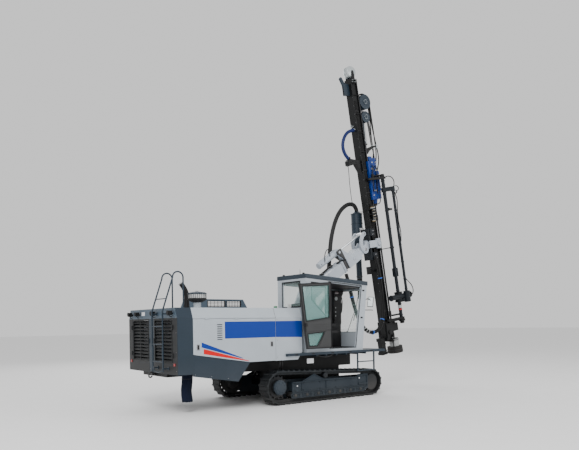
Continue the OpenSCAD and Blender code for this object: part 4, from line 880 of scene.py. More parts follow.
def make_ladder_details():
    """Rounded kick guard of the ladder, and tread studs on its steps."""
    guard = Piece("ladder_guard", "carrier", "slate")
    guard.tube([(LADDER_X, -0.34, 1.42), (LADDER_X, -0.33, 1.10), (LADDER_X, -0.34, 0.97),
                (LADDER_X, -0.42, 0.90), (LADDER_X, -0.56, 0.885), (LADDER_X, -0.70, 0.90),
                (LADDER_X, -0.79, 0.97), (LADDER_X, -0.80, 1.10), (LADDER_X, -0.79, 1.42)], 0.014, 10)
    guard.done()
    studs = Piece("ladder_step_treads", "carrier", "steel")
    for z in (1.10, 1.46, 1.83):
        for k in range(9):
            studs.rod((LADDER_X, -0.74 + 0.044 * k, z + 0.010), (LADDER_X, -0.74 + 0.044 * k, z + 0.0165),
                      0.005, 6)
    studs.done()
    clip = Piece("ladder_clips", "carrier", "slate")
    for y in (-0.82, -0.31):
        for z in (0.96, 2.09):
            clip.box((-3.986, y - 0.030, z - 0.035), (-3.9706, y + 0.030, z + 0.035))
        clip.turn([(0.032, 0), (0.032, 0.010), (0.018, 0.014)], (-3.615, y, 2.2103), sides=20)
    clip.done(bevel=0.003)


make_ladder_details()


def make_belly_details():
    """Belly box and hanging post between the tracks."""
    belly = Piece("belly_box", "carrier", "plate")
    belly.box((-0.60, -1.17, 0.905), (-0.40, -1.155, 1.02))
    belly.done(bevel=0.006)
    post = Piece("belly_pipes", "carrier", "dark_steel")
    for x in (-1.20, -1.14):
        post.tube([(x, -0.86, 1.09), (x, -0.90, 1.00), (x, -0.90, 0.86), (x + 0.03, -0.86, 0.78)], 0.020, 12)
    post.tube([(-0.30, -1.12, 1.10), (-0.10, -1.12, 1.04), (0.10, -1.12, 1.04), (0.25, -1.12, 1.09)], 0.018,
              10)
    post.done()
    under = Piece("walkway_brackets", "carrier", "slate")
    for x in (-0.35, -0.05, 0.28, 0.60, 0.95, 1.25):
        under.prism([(x, 1.103), (x + 0.05, 1.103), (x + 0.045, 1.060), (x + 0.005, 1.060)], -1.20, -0.60)
    under.done()


make_belly_details()


def make_dust_sleeve():
    """Folded cloth of the dust sleeve."""
    cloth = Piece("dust_sleeve_cloth", "carrier", "fabric", turned((-3.56, -0.82, 0), 0))
    rings, N = [], 48
    rnd = random.Random(4)
    phase = [rnd.uniform(0, 6.28) for _ in range(6)]
    for k in range(30):
        z = 0.2403 + (1.058 - 0.2403) * k / 29
        low = 1 - (z - 0.24) / 0.82
        kink = 0.018 * math.sin(9 * z + 0.6) * (1 if 0.3 < z < 0.62 else 0.4)
        ring = []
        for j in range(N):
            a = 2 * math.pi * j / N
            fold = 1 + 0.045 * low * math.cos(7 * a + phase[0]) + 0.020 * math.sin(11 * a + phase[1]
                    + 4 * z) - 0.03 * math.exp(-((z - 0.45) / 0.05) ** 2)
            ring.append(cloth.bm.verts.new(cloth.place @ Vector((0.119 * fold * math.cos(a) + kink,
                    0.085 * fold * math.sin(a), z))))
        rings.append(ring)
    for a, b in zip(rings, rings[1:]):
        for j in range(N):
            cloth.bm.faces.new((a[j], a[(j + 1) % N], b[(j + 1) % N], b[j]))
    sleeve = cloth.done(replaces=["dust_sleeve"])
    skin = sleeve.modifiers.new("cloth_thickness", "SOLIDIFY")
    skin.thickness, skin.offset = 0.003, -1
    band = Piece("dust_sleeve_bands", "carrier", "dark_steel", turned((-3.56, -0.82, 0), 0))
    pts = [(0.123 * math.cos(a), 0.089 * math.sin(a), 0.725)
           for a in [2 * math.pi * k / 32 for k in range(33)]]
    band.tube(pts, 0.004, 6, 1)
    band.done()


make_dust_sleeve()

# Cab
CAB_X, CAB_NEAR, CAB_FAR, HINGE = -0.656, -1.23, -0.115, 0.06


def cab_top(x):
    return 2.915 - 0.130 * (x - CAB_X) / 1.982


NEAR_WINDOW = [(CAB_X + 0.165, 2.410), (HINGE - 0.110, 2.010),
               (HINGE - 0.110, cab_top(HINGE - 0.110) - 0.085),
               (CAB_X + 0.165, cab_top(CAB_X + 0.165) - 0.085)]
FAR_WINDOW = [(CAB_X + 0.12, 1.75), (1.00, 1.75), (1.06, cab_top(1.06) - 0.085),
              (CAB_X + 0.12, cab_top(CAB_X + 0.12) - 0.085)]
REAR_WINDOW = [(CAB_NEAR + 0.21, 2.24), (CAB_FAR - 0.19, 2.24), (CAB_FAR - 0.19, 2.85),
               (CAB_NEAR + 0.21, 2.85)]
DOORWAY = [(HINGE, 1.244), (HINGE + 0.845, 1.244), (HINGE + 1.067, cab_top(HINGE + 1.055) - 0.03),
           (HINGE, cab_top(HINGE) - 0.03)]
g = Piece("cab_gaskets", "carrier", "gasket")
g.border(NEAR_WINDOW, 0.016, 0.012, CAB_NEAR - 0.006, CAB_NEAR - 0.0006)
g.border(FAR_WINDOW, 0.016, 0.012, CAB_FAR + 0.0006, CAB_FAR + 0.006)
g.border(REAR_WINDOW, 0.016, 0.012, CAB_X - 0.006, CAB_X - 0.0006, "x")
g.border(DOORWAY, 0.002, 0.016, CAB_NEAR - 0.008, CAB_NEAR - 0.0006)
g.done(bevel=0.002)


def front_x(z):
    return CAB_X + 1.802 + 0.180 * (z - 1.164) / (2.785 - 1.164)


fg = Piece("front_window_gasket", "carrier", "gasket")
y0, y1 = CAB_NEAR + 0.09, CAB_FAR - 0.09
for y, dy in ((y0, 0.014), (y1, -0.014)):
    fg.prism([(front_x(1.6) + 0.0006, 1.586), (front_x(1.6) + 0.008, 1.586), (front_x(2.694) + 0.008, 2.694),
              (front_x(2.694) + 0.0006, 2.694)],
             *sorted((y - dy, y + dy)))
for z in (1.600, 2.680):
    fg.prism([(front_x(z - 0.014) + 0.0006, z - 0.014), (front_x(z - 0.014) + 0.008, z - 0.014),
              (front_x(z + 0.014) + 0.008, z + 0.014),
              (front_x(z + 0.014) + 0.0006, z + 0.014)], y0, y1)
fg.done()
wiper = Piece("front_wiper", "carrier", "gasket")
wiper.rod((front_x(1.62) + 0.02, -0.60, 1.60), (front_x(2.25) + 0.022, -0.86, 2.25), 0.007, 8)
wiper.rod((front_x(2.0) + 0.016, -0.80, 1.90), (front_x(2.5) + 0.016, -0.92, 2.52), 0.009, 8)
wiper.turn([(0.028, 0), (0.028, 0.02), (0.014, 0.030)], (front_x(1.60) + 0.001, -0.60, 1.60), (1, 0, 0), 20)
wiper.done()


def make_roof_details():
    """Roof: drip rail, lid, lamps, aerial, vent."""
    rail = Piece("roof_drip_rail", "carrier", "slate")
    for y in (CAB_NEAR - 0.0116, CAB_FAR + 0.0116):
        rail.prism([(CAB_X - 0.01, cab_top(CAB_X) + 0.006), (1.34, cab_top(1.34) + 0.006),
                    (1.34, cab_top(1.34) + 0.020), (CAB_X - 0.01, cab_top(CAB_X) + 0.020)],
                   y - 0.006, y + 0.006)
    rail.done(bevel=0.002)
    bits = Piece("roof_fittings", "carrier", "gasket")
    bits.turn([(0.020, 0), (0.018, 0.018), (0.007, 0.03), (0.005, 0.12), (0.003, 0.16)],
              (-0.403, -0.70, 2.998), sides=14)
    bits.turn([(0.030, 0), (0.030, 0.03), (0.018, 0.04)], (-0.60, -0.30, 3.010), sides=18)
    bits.turn([(0.030, 0), (0.030, 0.03), (0.018, 0.04)], (-0.60, -1.08, 3.010), sides=18)
    bits.done()
    hatch = Piece("roof_hatch", "carrier", "slate")
    hatch.prism([(-0.15, cab_top(-0.15) + 0.1009), (0.75, cab_top(0.75) + 0.1009),
                 (0.74, cab_top(0.75) + 0.125), (-0.14, cab_top(-0.15) + 0.125)], -1.0, -0.35)
    hatch.done(bevel=0.006)
    beacon = Piece("hood_lamp", "carrier", "pale")
    beacon.turn([(0.045, 0), (0.045, 0.020), (0.034, 0.030), (0.034, 0.075), (0.022, 0.092),
                 (0.0002, 0.097)], (-0.98, -1.00, 2.2103), sides=24)
    beacon.done()
    cap = Piece("filler_cap", "carrier", "green")
    cap.turn([(0.040, 0), (0.040, 0.030), (0.046, 0.032), (0.046, 0.062), (0.036, 0.070), (0.0002, 0.072)],
             (-0.866, -0.30, 2.2103), sides=24)
    cap.done()


make_roof_details()


def make_stops_and_mirror():
    """Stops on the near front pillar, and the mirror on its arm."""
    stops = Piece("door_stops", "carrier", "gasket")
    for z, x in ((2.655, 1.20), (1.974, 1.125)):
        stops.rod((x, CAB_NEAR - 0.001, z), (x, CAB_NEAR - 0.028, z), 0.014, 12)
        stops.box((x - 0.035, CAB_NEAR - 0.006, z - 0.018), (x + 0.035, CAB_NEAR - 0.0006, z + 0.018))
    stops.done()
    mirror = Piece("mirror_arm", "carrier", "gasket")
    mirror.tube([(front_x(2.42) + 0.002, -1.19, 2.42), (1.37, -1.20, 2.45), (1.44, -1.21, 2.44),
                 (1.46, -1.215, 2.38)], 0.010, 10)
    mirror.tube([(front_x(2.16), -1.16, 2.164), (1.35, -1.17, 2.164), (1.50, -1.19, 2.164),
                 (1.56, -1.195, 2.16)], 0.010, 10)
    mirror.done()
    head = Piece("mirror_head", "carrier", "gasket",
                 turned((1.46, -1.215, 2.37), 9) @ Matrix.Rotation(math.radians(38), 4, "Z"))
    head.box((-0.012, -0.075, -0.130), (0.020, 0.075, 0.130))
    head.done(bevel=0.012)
    face = Piece("mirror_face", "carrier", "silver",
                 turned((1.46, -1.215, 2.37), 9) @ Matrix.Rotation(math.radians(38), 4, "Z"))
    face.box((-0.0145, -0.062, -0.115), (-0.0125, 0.062, 0.115))
    face.done()


make_stops_and_mirror()


def make_cab_inside():
    """Cab inside: seat, armrest boxes, levers, instrument column and its dials."""
    seat = Piece("seat_cushion", "carrier", "seat")
    made = bmesh.ops.create_cube(seat.bm, size=1.0)["verts"]
    seat._put(made, Matrix.Translation(Vector((-0.11, -0.72, 1.585))) @ Matrix.Diagonal((0.60, 0.50, 0.150,
            1)))
    seat_obj = seat.done(rounded=3, bevel=0.03)
    back = Piece("seat_back", "carrier", "seat", turned((-0.42, -0.95, 1.569), -8))
    made = bmesh.ops.create_cube(back.bm, size=1.0)["verts"]
    back._put(made, back.place @ Matrix.Translation(Vector((0.057, 0.23, 0.37))) @ Matrix.Diagonal((0.150,
            0.50, 0.80, 1)))
    back_obj = back.done(rounded=3, bevel=0.03)
    levers = Piece("cab_levers", "carrier", "plastic")
    for x, y, h in ((0.52, -0.42, 0.12), (0.66, -0.38, 0.15), (0.80, -0.42, 0.11), (0.62, -0.30, 0.14)):
        levers.rod((x, y, 1.908), (x - 0.03, y - 0.01, 1.91 + h), 0.007, 8)
        levers.ball((x - 0.03, y - 0.01, 1.92 + h), 0.022)
    levers.tube([(0.25, -0.98, 1.22), (0.27, -0.97, 1.50), (0.33, -0.96, 1.72), (0.38, -0.95, 1.80)], 0.014,
                10)
    levers.box((0.31, -1.01, 1.77), (0.46, -0.90, 1.83))
    levers.box((0.10, -1.04, 1.60), (0.50, -0.96, 1.66))
    levers.done(bevel=0.004)
    column = Piece("cab_column_panel", "carrier", "plastic")
    column.box((0.862, -0.4925, 1.84), (1.106, -0.4806, 2.685))
    column.prism([(1.107, 2.69), (1.22, 2.70), (1.20, 2.60), (1.15, 2.52), (1.145, 2.40), (1.18, 2.28),
                  (1.16, 2.14), (1.09, 2.02), (1.06, 1.90), (0.95, 1.82), (0.90, 1.84), (1.107, 1.90)],
                 -0.47, -0.33)
    column.prism([(0.55, 1.215), (0.55, 1.60), (0.62, 1.74), (0.80, 1.84), (0.98, 1.82), (1.00, 1.70),
                  (0.92, 1.52), (0.90, 1.215)], -0.54, -0.46)
    column.box((0.14, -1.17, 1.2097), (1.02, -0.35, 1.245))
    column.box((0.88, -0.4985, 2.585), (1.09, -0.4927, 2.672))
    for z in (1.93, 2.03, 2.13, 2.24):
        column.turn([(0.028, 0), (0.028, 0.006), (0.019, 0.008), (0.017, 0.026), (0.0002, 0.028)],
                    (0.890, -0.493, z), (0, -1, 0), 20)
    column.done(bevel=0.002)
    dials = Piece("cab_dials", "carrier", "dial")
    dials.turn([(0.041, 0.004), (0.047, 0.004), (0.049, 0.014), (0.041, 0.014)], (0.928, -0.493, 2.476),
               (0, -1, 0), 32)
    for z in (2.03, 2.13, 2.24):
        dials.turn([(0.018, 0.020), (0.018, 0.0285), (0.0002, 0.0290)], (0.890, -0.493, z), (0, -1, 0), 20)
    dials.done()
    screen = Piece("cab_screen", "carrier", "screen")
    screen.box((0.895, -0.5000, 2.600), (1.010, -0.4987, 2.660))
    screen.done()
    inner = Piece("cab_wiring", "carrier", "hose")
    for k, (x, y) in enumerate(((1.13, -0.35), (1.16, -0.30), (1.10, -0.28), (1.18, -0.38))):
        inner.tube([(x - 0.05, y, 2.70), (x + 0.03, y - 0.02, 2.52), (x - 0.02 + 0.02 * k, y - 0.03, 2.30),
                    (x - 0.06, y - 0.01, 2.10), (x - 0.12, y, 1.95)], 0.009, 8)
    inner.done()
    trim = Piece("cab_lining", "carrier", "plastic")
    trim.box((HINGE - 0.06, CAB_NEAR + 0.046, 1.22), (HINGE - 0.012, CAB_NEAR + 0.085, 2.80))
    trim.box((CAB_X + 0.05, CAB_NEAR + 0.09, 1.2096), (1.08, CAB_FAR - 0.06, 1.218))
    trim.prism([(CAB_X + 0.06, cab_top(CAB_X + 0.06) - 0.046), (1.26, cab_top(1.26) - 0.046),
                (1.26, cab_top(1.26) - 0.066), (CAB_X + 0.06, cab_top(CAB_X + 0.06) - 0.066)],
               CAB_NEAR + 0.06, CAB_FAR - 0.06)
    trim.done(bevel=0.004)


make_cab_inside()

D0, D1 = 0.025, 0.060
top_z = lambda x: cab_top(HINGE + x) - 0.038
EDGE = lambda z: 0.835 + 0.220 * (z - 1.250) / (top_z(1.055) - 1.250)
UPPER = [(0.085, 1.985), (EDGE(1.900) - 0.085, 1.900), (EDGE(2.690) - 0.085, top_z(1.055) - 0.060),
         (0.085, top_z(0.085) - 0.070)]
LOWER = [(0.500, 1.320), (EDGE(1.320) - 0.085, 1.320), (EDGE(1.600) - 0.085, 1.600), (0.250, 1.640)]


def make_open_door():
    """The open door: gaskets, inner panel with ribs, handle and latch."""
    gaskets = Piece("door_gaskets", "cab_door", "gasket", DOOR)
    for pane in (UPPER, LOWER):
        gaskets.border(pane, 0.010, 0.014, D1 + 0.0006, D1 + 0.008)
        gaskets.border(pane, 0.010, 0.014, D0 - 0.006, D0 - 0.0006)
    gaskets.border([(0.010, 1.252), (0.833, 1.252), (1.053, top_z(1.055) - 0.002),
                    (0.010, top_z(0.01) - 0.002)], 0.022, 0.0, D1 + 0.0006, D1 + 0.012)
    gaskets.done(bevel=0.002)
    panel = Piece("door_inner_panel", "cab_door", "door", DOOR)
    panel.prism([(0.045, 1.700), (EDGE(1.66) - 0.045, 1.655), (EDGE(1.86) - 0.045, 1.862), (0.045, 1.945)],
                D1 + 0.0006, D1 + 0.012)
    panel.prism([(0.048, 1.30), (0.440, 1.30), (0.225, 1.655), (0.048, 1.665)], D1 + 0.0006, D1 + 0.010)
    for k in range(3):
        panel.prism([(0.10, 1.735 + 0.045 * k), (0.62, 1.715 + 0.045 * k), (0.62, 1.724 + 0.045 * k),
                     (0.10, 1.744 + 0.045 * k)], D1 + 0.012, D1 + 0.017)
    panel.done(bevel=0.003)
    handles = Piece("door_handles", "cab_door", "gasket", DOOR)
    handles.tube([(0.13, D1, 2.10), (0.13, D1 + 0.06, 2.12), (0.13, D1 + 0.065, 2.30),
                  (0.13, D1 + 0.06, 2.48), (0.13, D1, 2.50)], 0.010, 10)
    handles.box((EDGE(1.81) - 0.075, D1 + 0.012, 1.775), (EDGE(1.81) - 0.010, D1 + 0.040, 1.850))
    handles.box((EDGE(1.81) - 0.14, D0 - 0.030, 1.79), (EDGE(1.81) - 0.02, D0 - 0.001, 1.83))
    handles.done(bevel=0.004)
    leaves = Piece("door_hinge_leaves", "cab_door", "gasket", DOOR)
    for z in (1.45, 2.55):
        leaves.box((0.014, D0 - 0.005, z - 0.005), (0.10, D0 - 0.0006, z + 0.095))
        leaves.hexes([(0.045, D0 - 0.005, z + 0.02), (0.045, D0 - 0.005, z + 0.07),
                      (0.08, D0 - 0.005, z + 0.02), (0.08, D0 - 0.005, z + 0.07)], (0, -1, 0), 0.007, 0.005)
    leaves.done()


make_open_door()

AXIS = Vector((2.5504 - 1.64701, 0, 4.360 - 3.78813)).normalized()
TILT = Vector((1.64701, 0.28, 3.78813))


def make_boom_details():
    """Boom."""
    pins = Piece("boom_foot_pin_caps", "outer_boom", "steel", BOOM)
    for s in (-1, 1):
        pins.turn([(0.044, 0), (0.044, 0.004), (0.030, 0.007), (0.0002, 0.008)], (0, s * 0.200, 0),
                  (0, s, 0), 32)
    pins.hexes([(0.025 * math.cos(a), -0.206, 0.025 * math.sin(a)) for a in (0, 2.1, 4.2)], (0, -1, 0),
               0.006, 0.005)
    pins.done()
    collar = Piece("boom_collar_bolts", "outer_boom", "boom", BOOM)
    for s in (-1, 1):
        collar.hexes([(x, s * 0.162, z) for x in (1.495, 1.525) for z in (-0.12, -0.06, 0.0, 0.06, 0.12)],
                     (0, s, 0), 0.011, 0.010)
    collar.hexes([(x, y, 0.162) for x in (1.495, 1.525) for y in (-0.12, -0.06, 0.0, 0.06, 0.12)], (0, 0, 1),
                 0.011, 0.010)
    collar.border([(-0.157, -0.157), (0.157, -0.157), (0.157, 0.157), (-0.157, 0.157)], 0.0, 0.010, 1.470,
                  1.482, "x")
    collar.border([(-0.148, -0.148), (0.148, -0.148), (0.148, 0.148), (-0.148, 0.148)], 0.0, 0.008, 0.90,
                  0.93, "x")
    collar.done(bevel=0.002)
    scraper = Piece("boom_scraper", "outer_boom", "gasket", BOOM)
    scraper.border([(-0.127, -0.127), (0.127, -0.127), (0.127, 0.127), (-0.127, 0.127)], 0.0, 0.030, 1.5405,
                   1.565, "x")
    scraper.done(bevel=0.004)
    loops = Piece("boom_collar_lines", "outer_boom", "hose", BOOM)
    for k, y in enumerate((-0.10, -0.06, -0.02)):
        loops.tube([(1.40, y, 0.172), (1.47, y, 0.185), (1.535, y, 0.178), (1.552, y, 0.166)], 0.010, 8)
    loops.done()
    head_trim = Piece("boom_head_trim", "inner_boom", "boom", BOOM)
    for s in (-1, 1):
        head_trim.hexes([(x, s * 0.150, z) for x in (1.73, 2.22) for z in (-0.11, 0.11)], (0, s, 0), 0.013,
                        0.010)
        head_trim.turn([(0.050, 0), (0.050, 0.010), (0.040, 0.014)], (1.98, s * 0.150, 0.0), (0, s, 0), 32)
    head_trim.box((1.70, -0.155, -0.155), (1.72, 0.155, 0.155))
    head_trim.done(bevel=0.003)
    clamps = Piece("boom_clamp_blocks", "outer_boom", "gasket", BOOM)
    for x in (0.45, 0.85, 1.22):
        clamps.box((x, -0.005, 0.1503), (x + 0.04, 0.165, 0.1535))
        clamps.box((x, -0.005, 0.183), (x + 0.04, 0.165, 0.193))
    clamps.done(bevel=0.002)
    head_caps = Piece("tilt_head_caps", "tilt_head", "steel")
    for s in (-1, 1):
        y = 0.28 + s * 0.190
        head_caps.turn([(0.046, 0), (0.046, 0.006), (0.020, 0.009), (0.0002, 0.009)], (2.6004, y, 3.920),
                       (0, s, 0), 32)
    head_caps.done()
    bosses = Piece("tilt_head_bosses", "tilt_head", "boom")
    for s in (-1, 1):
        y = 0.28 + s * 0.190
        bosses.turn([(0.088, 0), (0.088, 0.012), (0.052, 0.014), (0.052, 0.0)], (2.6004, y, 3.920),
                    (0, s, 0), 40)
        bosses.turn([(0.056, 0), (0.056, 0.012), (0.034, 0.014), (0.034, 0.0)], (2.5504, y, 4.360),
                    (0, s, 0), 32)
    bosses.done()
    rod_cap = Piece("tilt_rod_pin_caps", "tilt_rod", "steel")
    for s in (-1, 1):
        rod_cap.turn([(0.030, 0), (0.030, 0.045), (0.020, 0.048), (0.0002, 0.048)],
                     (2.5504, 0.28 + s * 0.150, 4.360), (0, s, 0), 24)
    rod_cap.done()
    tilt_trim = Piece("tilt_barrel_trim", "tilt_barrel", "boom")
    tilt_trim.turn([(0.080, 0), (0.088, 0.004), (0.088, 0.070), (0.080, 0.074)], TILT + AXIS * 0.003, AXIS,
                   40)
    tilt_trim.turn([(0.080, 0), (0.086, 0.003), (0.086, 0.030), (0.080, 0.033)], TILT - AXIS * 0.765, AXIS,
                   40)
    tilt_trim.turn([(0.088, 0), (0.088, 0.024), (0.080, 0.030)], TILT - AXIS * 0.10, AXIS, 40)
    up_side = Vector((-AXIS.z, 0, AXIS.x))
    tilt_trim.tube([TILT - AXIS * 0.68 + up_side * 0.075, TILT - AXIS * 0.66 + up_side * 0.100,
                    TILT - AXIS * 0.40 + up_side * 0.100, TILT - AXIS * 0.05 + up_side * 0.100,
                    TILT - AXIS * 0.02 + up_side * 0.078], 0.011, 10)
    tilt_trim.box(TILT - AXIS * 0.70 + up_side * 0.07 - Vector((0.02, 0.03, 0.02)),
                  TILT - AXIS * 0.70 + up_side * 0.07 + Vector((0.02, 0.03, 0.02)))
    tilt_trim.done()
    ports = Piece("tilt_barrel_ports", "tilt_barrel", "steel")
    for d in (-0.70, -0.56):
        c = TILT + AXIS * d + Vector((0, -0.070, 0)) + up_side * 0.02
        ports.rod(c, c + Vector((0, -0.035, 0)), 0.015, 6)
    ports.done()
    lift_foot = Vector((0.690, 0.28, 1.8443))
    lift_way = Vector((0.645755, 0, 0.763545))
    lift_trim = Piece("lift_barrel_trim", "lift_barrel", "boom")
    lift_trim.turn([(0.070, 0), (0.078, 0.004), (0.078, 0.065), (0.070, 0.070)],
                   lift_foot + lift_way * 0.755, lift_way, 40)
    lift_trim.tube([lift_foot + lift_way * 0.12 + Vector((0, -0.066, 0)),
                    lift_foot + lift_way * 0.16 + Vector((0, -0.085, 0)),
                    lift_foot + lift_way * 0.45 + Vector((0, -0.085, 0)),
                    lift_foot + lift_way * 0.70 + Vector((0, -0.085, 0)),
                    lift_foot + lift_way * 0.74 + Vector((0, -0.066, 0))], 0.010, 10)
    lift_trim.done()
    foot_trim = Piece("boom_tower_bolts", "carrier", "steel")
    foot_trim.hexes([(0.11 + 0.08 * k, 0.020, 1.62) for k in range(7)], (0, -1, 0), 0.013, 0.010)
    foot_trim.done()
    caps = Piece("boom_bracket_caps", "boom_foot", "steel")
    for s in (-1, 1):
        caps.turn([(0.030, 0), (0.030, 0.014), (0.018, 0.018), (0.0002, 0.018)],
                  (0.69, 0.28 + s * 0.2, 1.8443), (0, s, 0), 24)
    caps.done()


make_boom_details()


def make_feed_beam_details():
    """Feed beam: wear strips, flange bolts, web ribs, slotted plate, ropes, pipes and clamps."""
    strip = Piece("feed_wear_strips", "feed", "dark_steel", FEED)
    for s in (-1, 1):
        strip.box((0.098, s * 0.1253 - 0.002, 0.90), (0.121, s * 0.1253 + 0.002, 7.86))
    strip.done()
    bolts = Piece("feed_flange_bolts", "feed", "steel", FEED)
    for k in range(30):
        z = 0.95 + 0.23 * k
        for s in (-1, 1):
            bolts.hexes([(-0.12, s * 0.108, z)], (-1, 0, 0), 0.009, 0.007)
            bolts.hexes([(0.12, s * 0.108, z + 0.05)], (1, 0, 0), 0.007, 0.0045)
    bolts.done()
    ribs = Piece("feed_web_ribs", "feed", "black", FEED)
    for k in range(13):
        z = 1.10 + 0.53 * k
        for s in (-1, 1):
            if s < 0 and 3.80 < z < 4.40:
                continue
            ribs.box((-0.099, s * 0.1055 - 0.0195, z), (0.099, s * 0.1055 + 0.0195, z + 0.012))
    for s in (-1, 1):
        for z0 in (1.35, 1.88, 2.41, 2.94, 4.53, 5.59, 6.12, 6.65):
            ribs.border([(-0.05, z0), (0.05, z0), (0.05, z0 + 0.11), (-0.05, z0 + 0.11)], 0.0, 0.010,
                        *sorted((s * 0.0853, s * 0.092)))
    ribs.done(bevel=0.002)
    slots = Piece("feed_slotted_plate", "feed", "gasket", FEED)
    slots.box((-0.085, -0.110, 2.36), (0.03, -0.1057, 2.62))
    slots.box((-0.375, -0.05, 2.40), (-0.290, 0.05, 2.62))
    slots.box((-0.300, -0.02, 2.45), (-0.120, 0.02, 2.50))
    slots.done(bevel=0.004)
    ropes = Piece("feed_ropes", "feed", "dark_steel", FEED)
    for y in (-0.045, 0.045):
        ropes.rod((0.131, y, 0.90), (0.131, y, 4.45), 0.007, 8)
        ropes.rod((0.131, y, 5.65), (0.131, y, 7.90), 0.007, 8)
    for s in (-1, 1):
        ropes.rod((-0.105, s * 0.092, 0.98), (-0.105, s * 0.092, 7.85), 0.006, 8)
    ropes.done()
    lines = Piece("feed_beam_pipes", "feed", "hose", FEED)
    for k, x in enumerate((-0.078, -0.052, -0.026, 0.0, 0.026)):
        lines.tube([(x, -0.097, 0.95), (x, -0.097, 2.30), (x, -0.100, 2.9), (x, -0.097, 3.86)], 0.0095, 8, 2)
        lines.tube([(x, -0.097, 4.32), (x, -0.100, 5.0), (x, -0.097, 6.2), (x, -0.095, 7.3)], 0.0085, 8, 2)
    lines.done()
    clamps = Piece("feed_pipe_clamps", "feed", "gasket", FEED)
    for z in (1.25, 1.90, 2.75, 3.45, 4.70, 5.35, 6.45, 7.00):
        clamps.box((-0.095, -0.113, z), (0.042, -0.106, z + 0.035))
        clamps.hexes([(-0.09, -0.113, z + 0.018), (0.037, -0.113, z + 0.018)], (0, -1, 0), 0.006, 0.005)
    clamps.done(bevel=0.002)


make_feed_beam_details()


def make_junction_block():
    """Junction block: rows of fittings with short hose tails."""
    fittings = Piece("junction_fittings", "feed", "brass", FEED)
    nuts = Piece("junction_nuts", "feed", "silver", FEED)
    tails = Piece("junction_tails", "feed", "hose", FEED)
    for row, z in enumerate((4.262, 3.928)):
        s = 1 if row == 0 else -1
        for k in range(5):
            for y in (-0.178, -0.135):
                x = -0.045 + 0.0225 * k
                nuts.rod((x, y, z), (x, y, z + s * 0.018), 0.010, 6)
                fittings.rod((x, y, z + s * 0.018), (x, y, z + s * 0.040), 0.008, 8)
                tails.tube([(x, y, z + s * 0.038), (x, y + 0.002, z + s * 0.070),
                            (x - 0.01, -0.118, z + s * 0.13), (x - 0.012, -0.100, z + s * 0.19)], 0.0075, 8,
                            3)
    for k in range(4):
        for j in range(4):
            (fittings if (k + j) % 2 else nuts).rod((-0.04 + 0.027 * k, -0.1953, 3.97 + 0.08 * j),
                                                    (-0.04 + 0.027 * k, -0.212, 3.97 + 0.08 * j), 0.009, 6)
    fittings.done()
    nuts.done()
    tails.done()
    shelves = Piece("junction_shelves", "feed", "black", FEED)
    for z in (3.945, 4.09, 4.235):
        shelves.box((-0.200, -0.200, z), (0.070, -0.1256, z + 0.014))
    shelves.box((-0.200, -0.160, 3.945), (-0.188, -0.1256, 4.249))
    shelves.done(bevel=0.002)


make_junction_block()


def make_hose_bracket_and_tensioner():
    """Black arm and fittings that carry the hoses above the drifter."""
    arm = Piece("hose_bracket_arm", "feed", "black", FEED)
    arm.prism([(0.1206, 5.80), (0.1206, 5.96), (0.24, 5.99), (0.46, 6.05), (0.66, 6.065), (0.66, 6.035),
               (0.46, 5.99), (0.30, 5.90), (0.22, 5.82)], -0.075, 0.045)
    arm.done(bevel=0.006)
    nuts = Piece("hose_bracket_fittings", "feed", "silver", FEED)
    for x, y in ((0.60, -0.045), (0.60, -0.088), (0.545, 0.020), (0.515, -0.020), (0.505, 0.025)):
        nuts.rod((x, y, 5.975), (x, y, 6.085), 0.021, 6)
    nuts.done()
    tube = Piece("tensioner_tube", "feed", "pale", FEED)
    tube.turn([(0.043, 0), (0.046, 0.004), (0.046, 0.66), (0.043, 0.665)], (0.262, 0, 6.09), (0.02, 0, 1), 28)
    tube.done()
    gland = Piece("tensioner_gland", "feed", "gasket", FEED)
    gland.turn([(0.050, 0), (0.050, 0.045), (0.040, 0.050)], (0.260, 0, 6.705), sides=28)
    gland.turn([(0.050, 0), (0.050, 0.030), (0.040, 0.034)], (0.262, 0, 6.092), sides=28)
    gland.rod((0.24, 0, 5.93), (0.262, 0, 6.10), 0.018, 14)
    gland.done()


make_hose_bracket_and_tensioner()


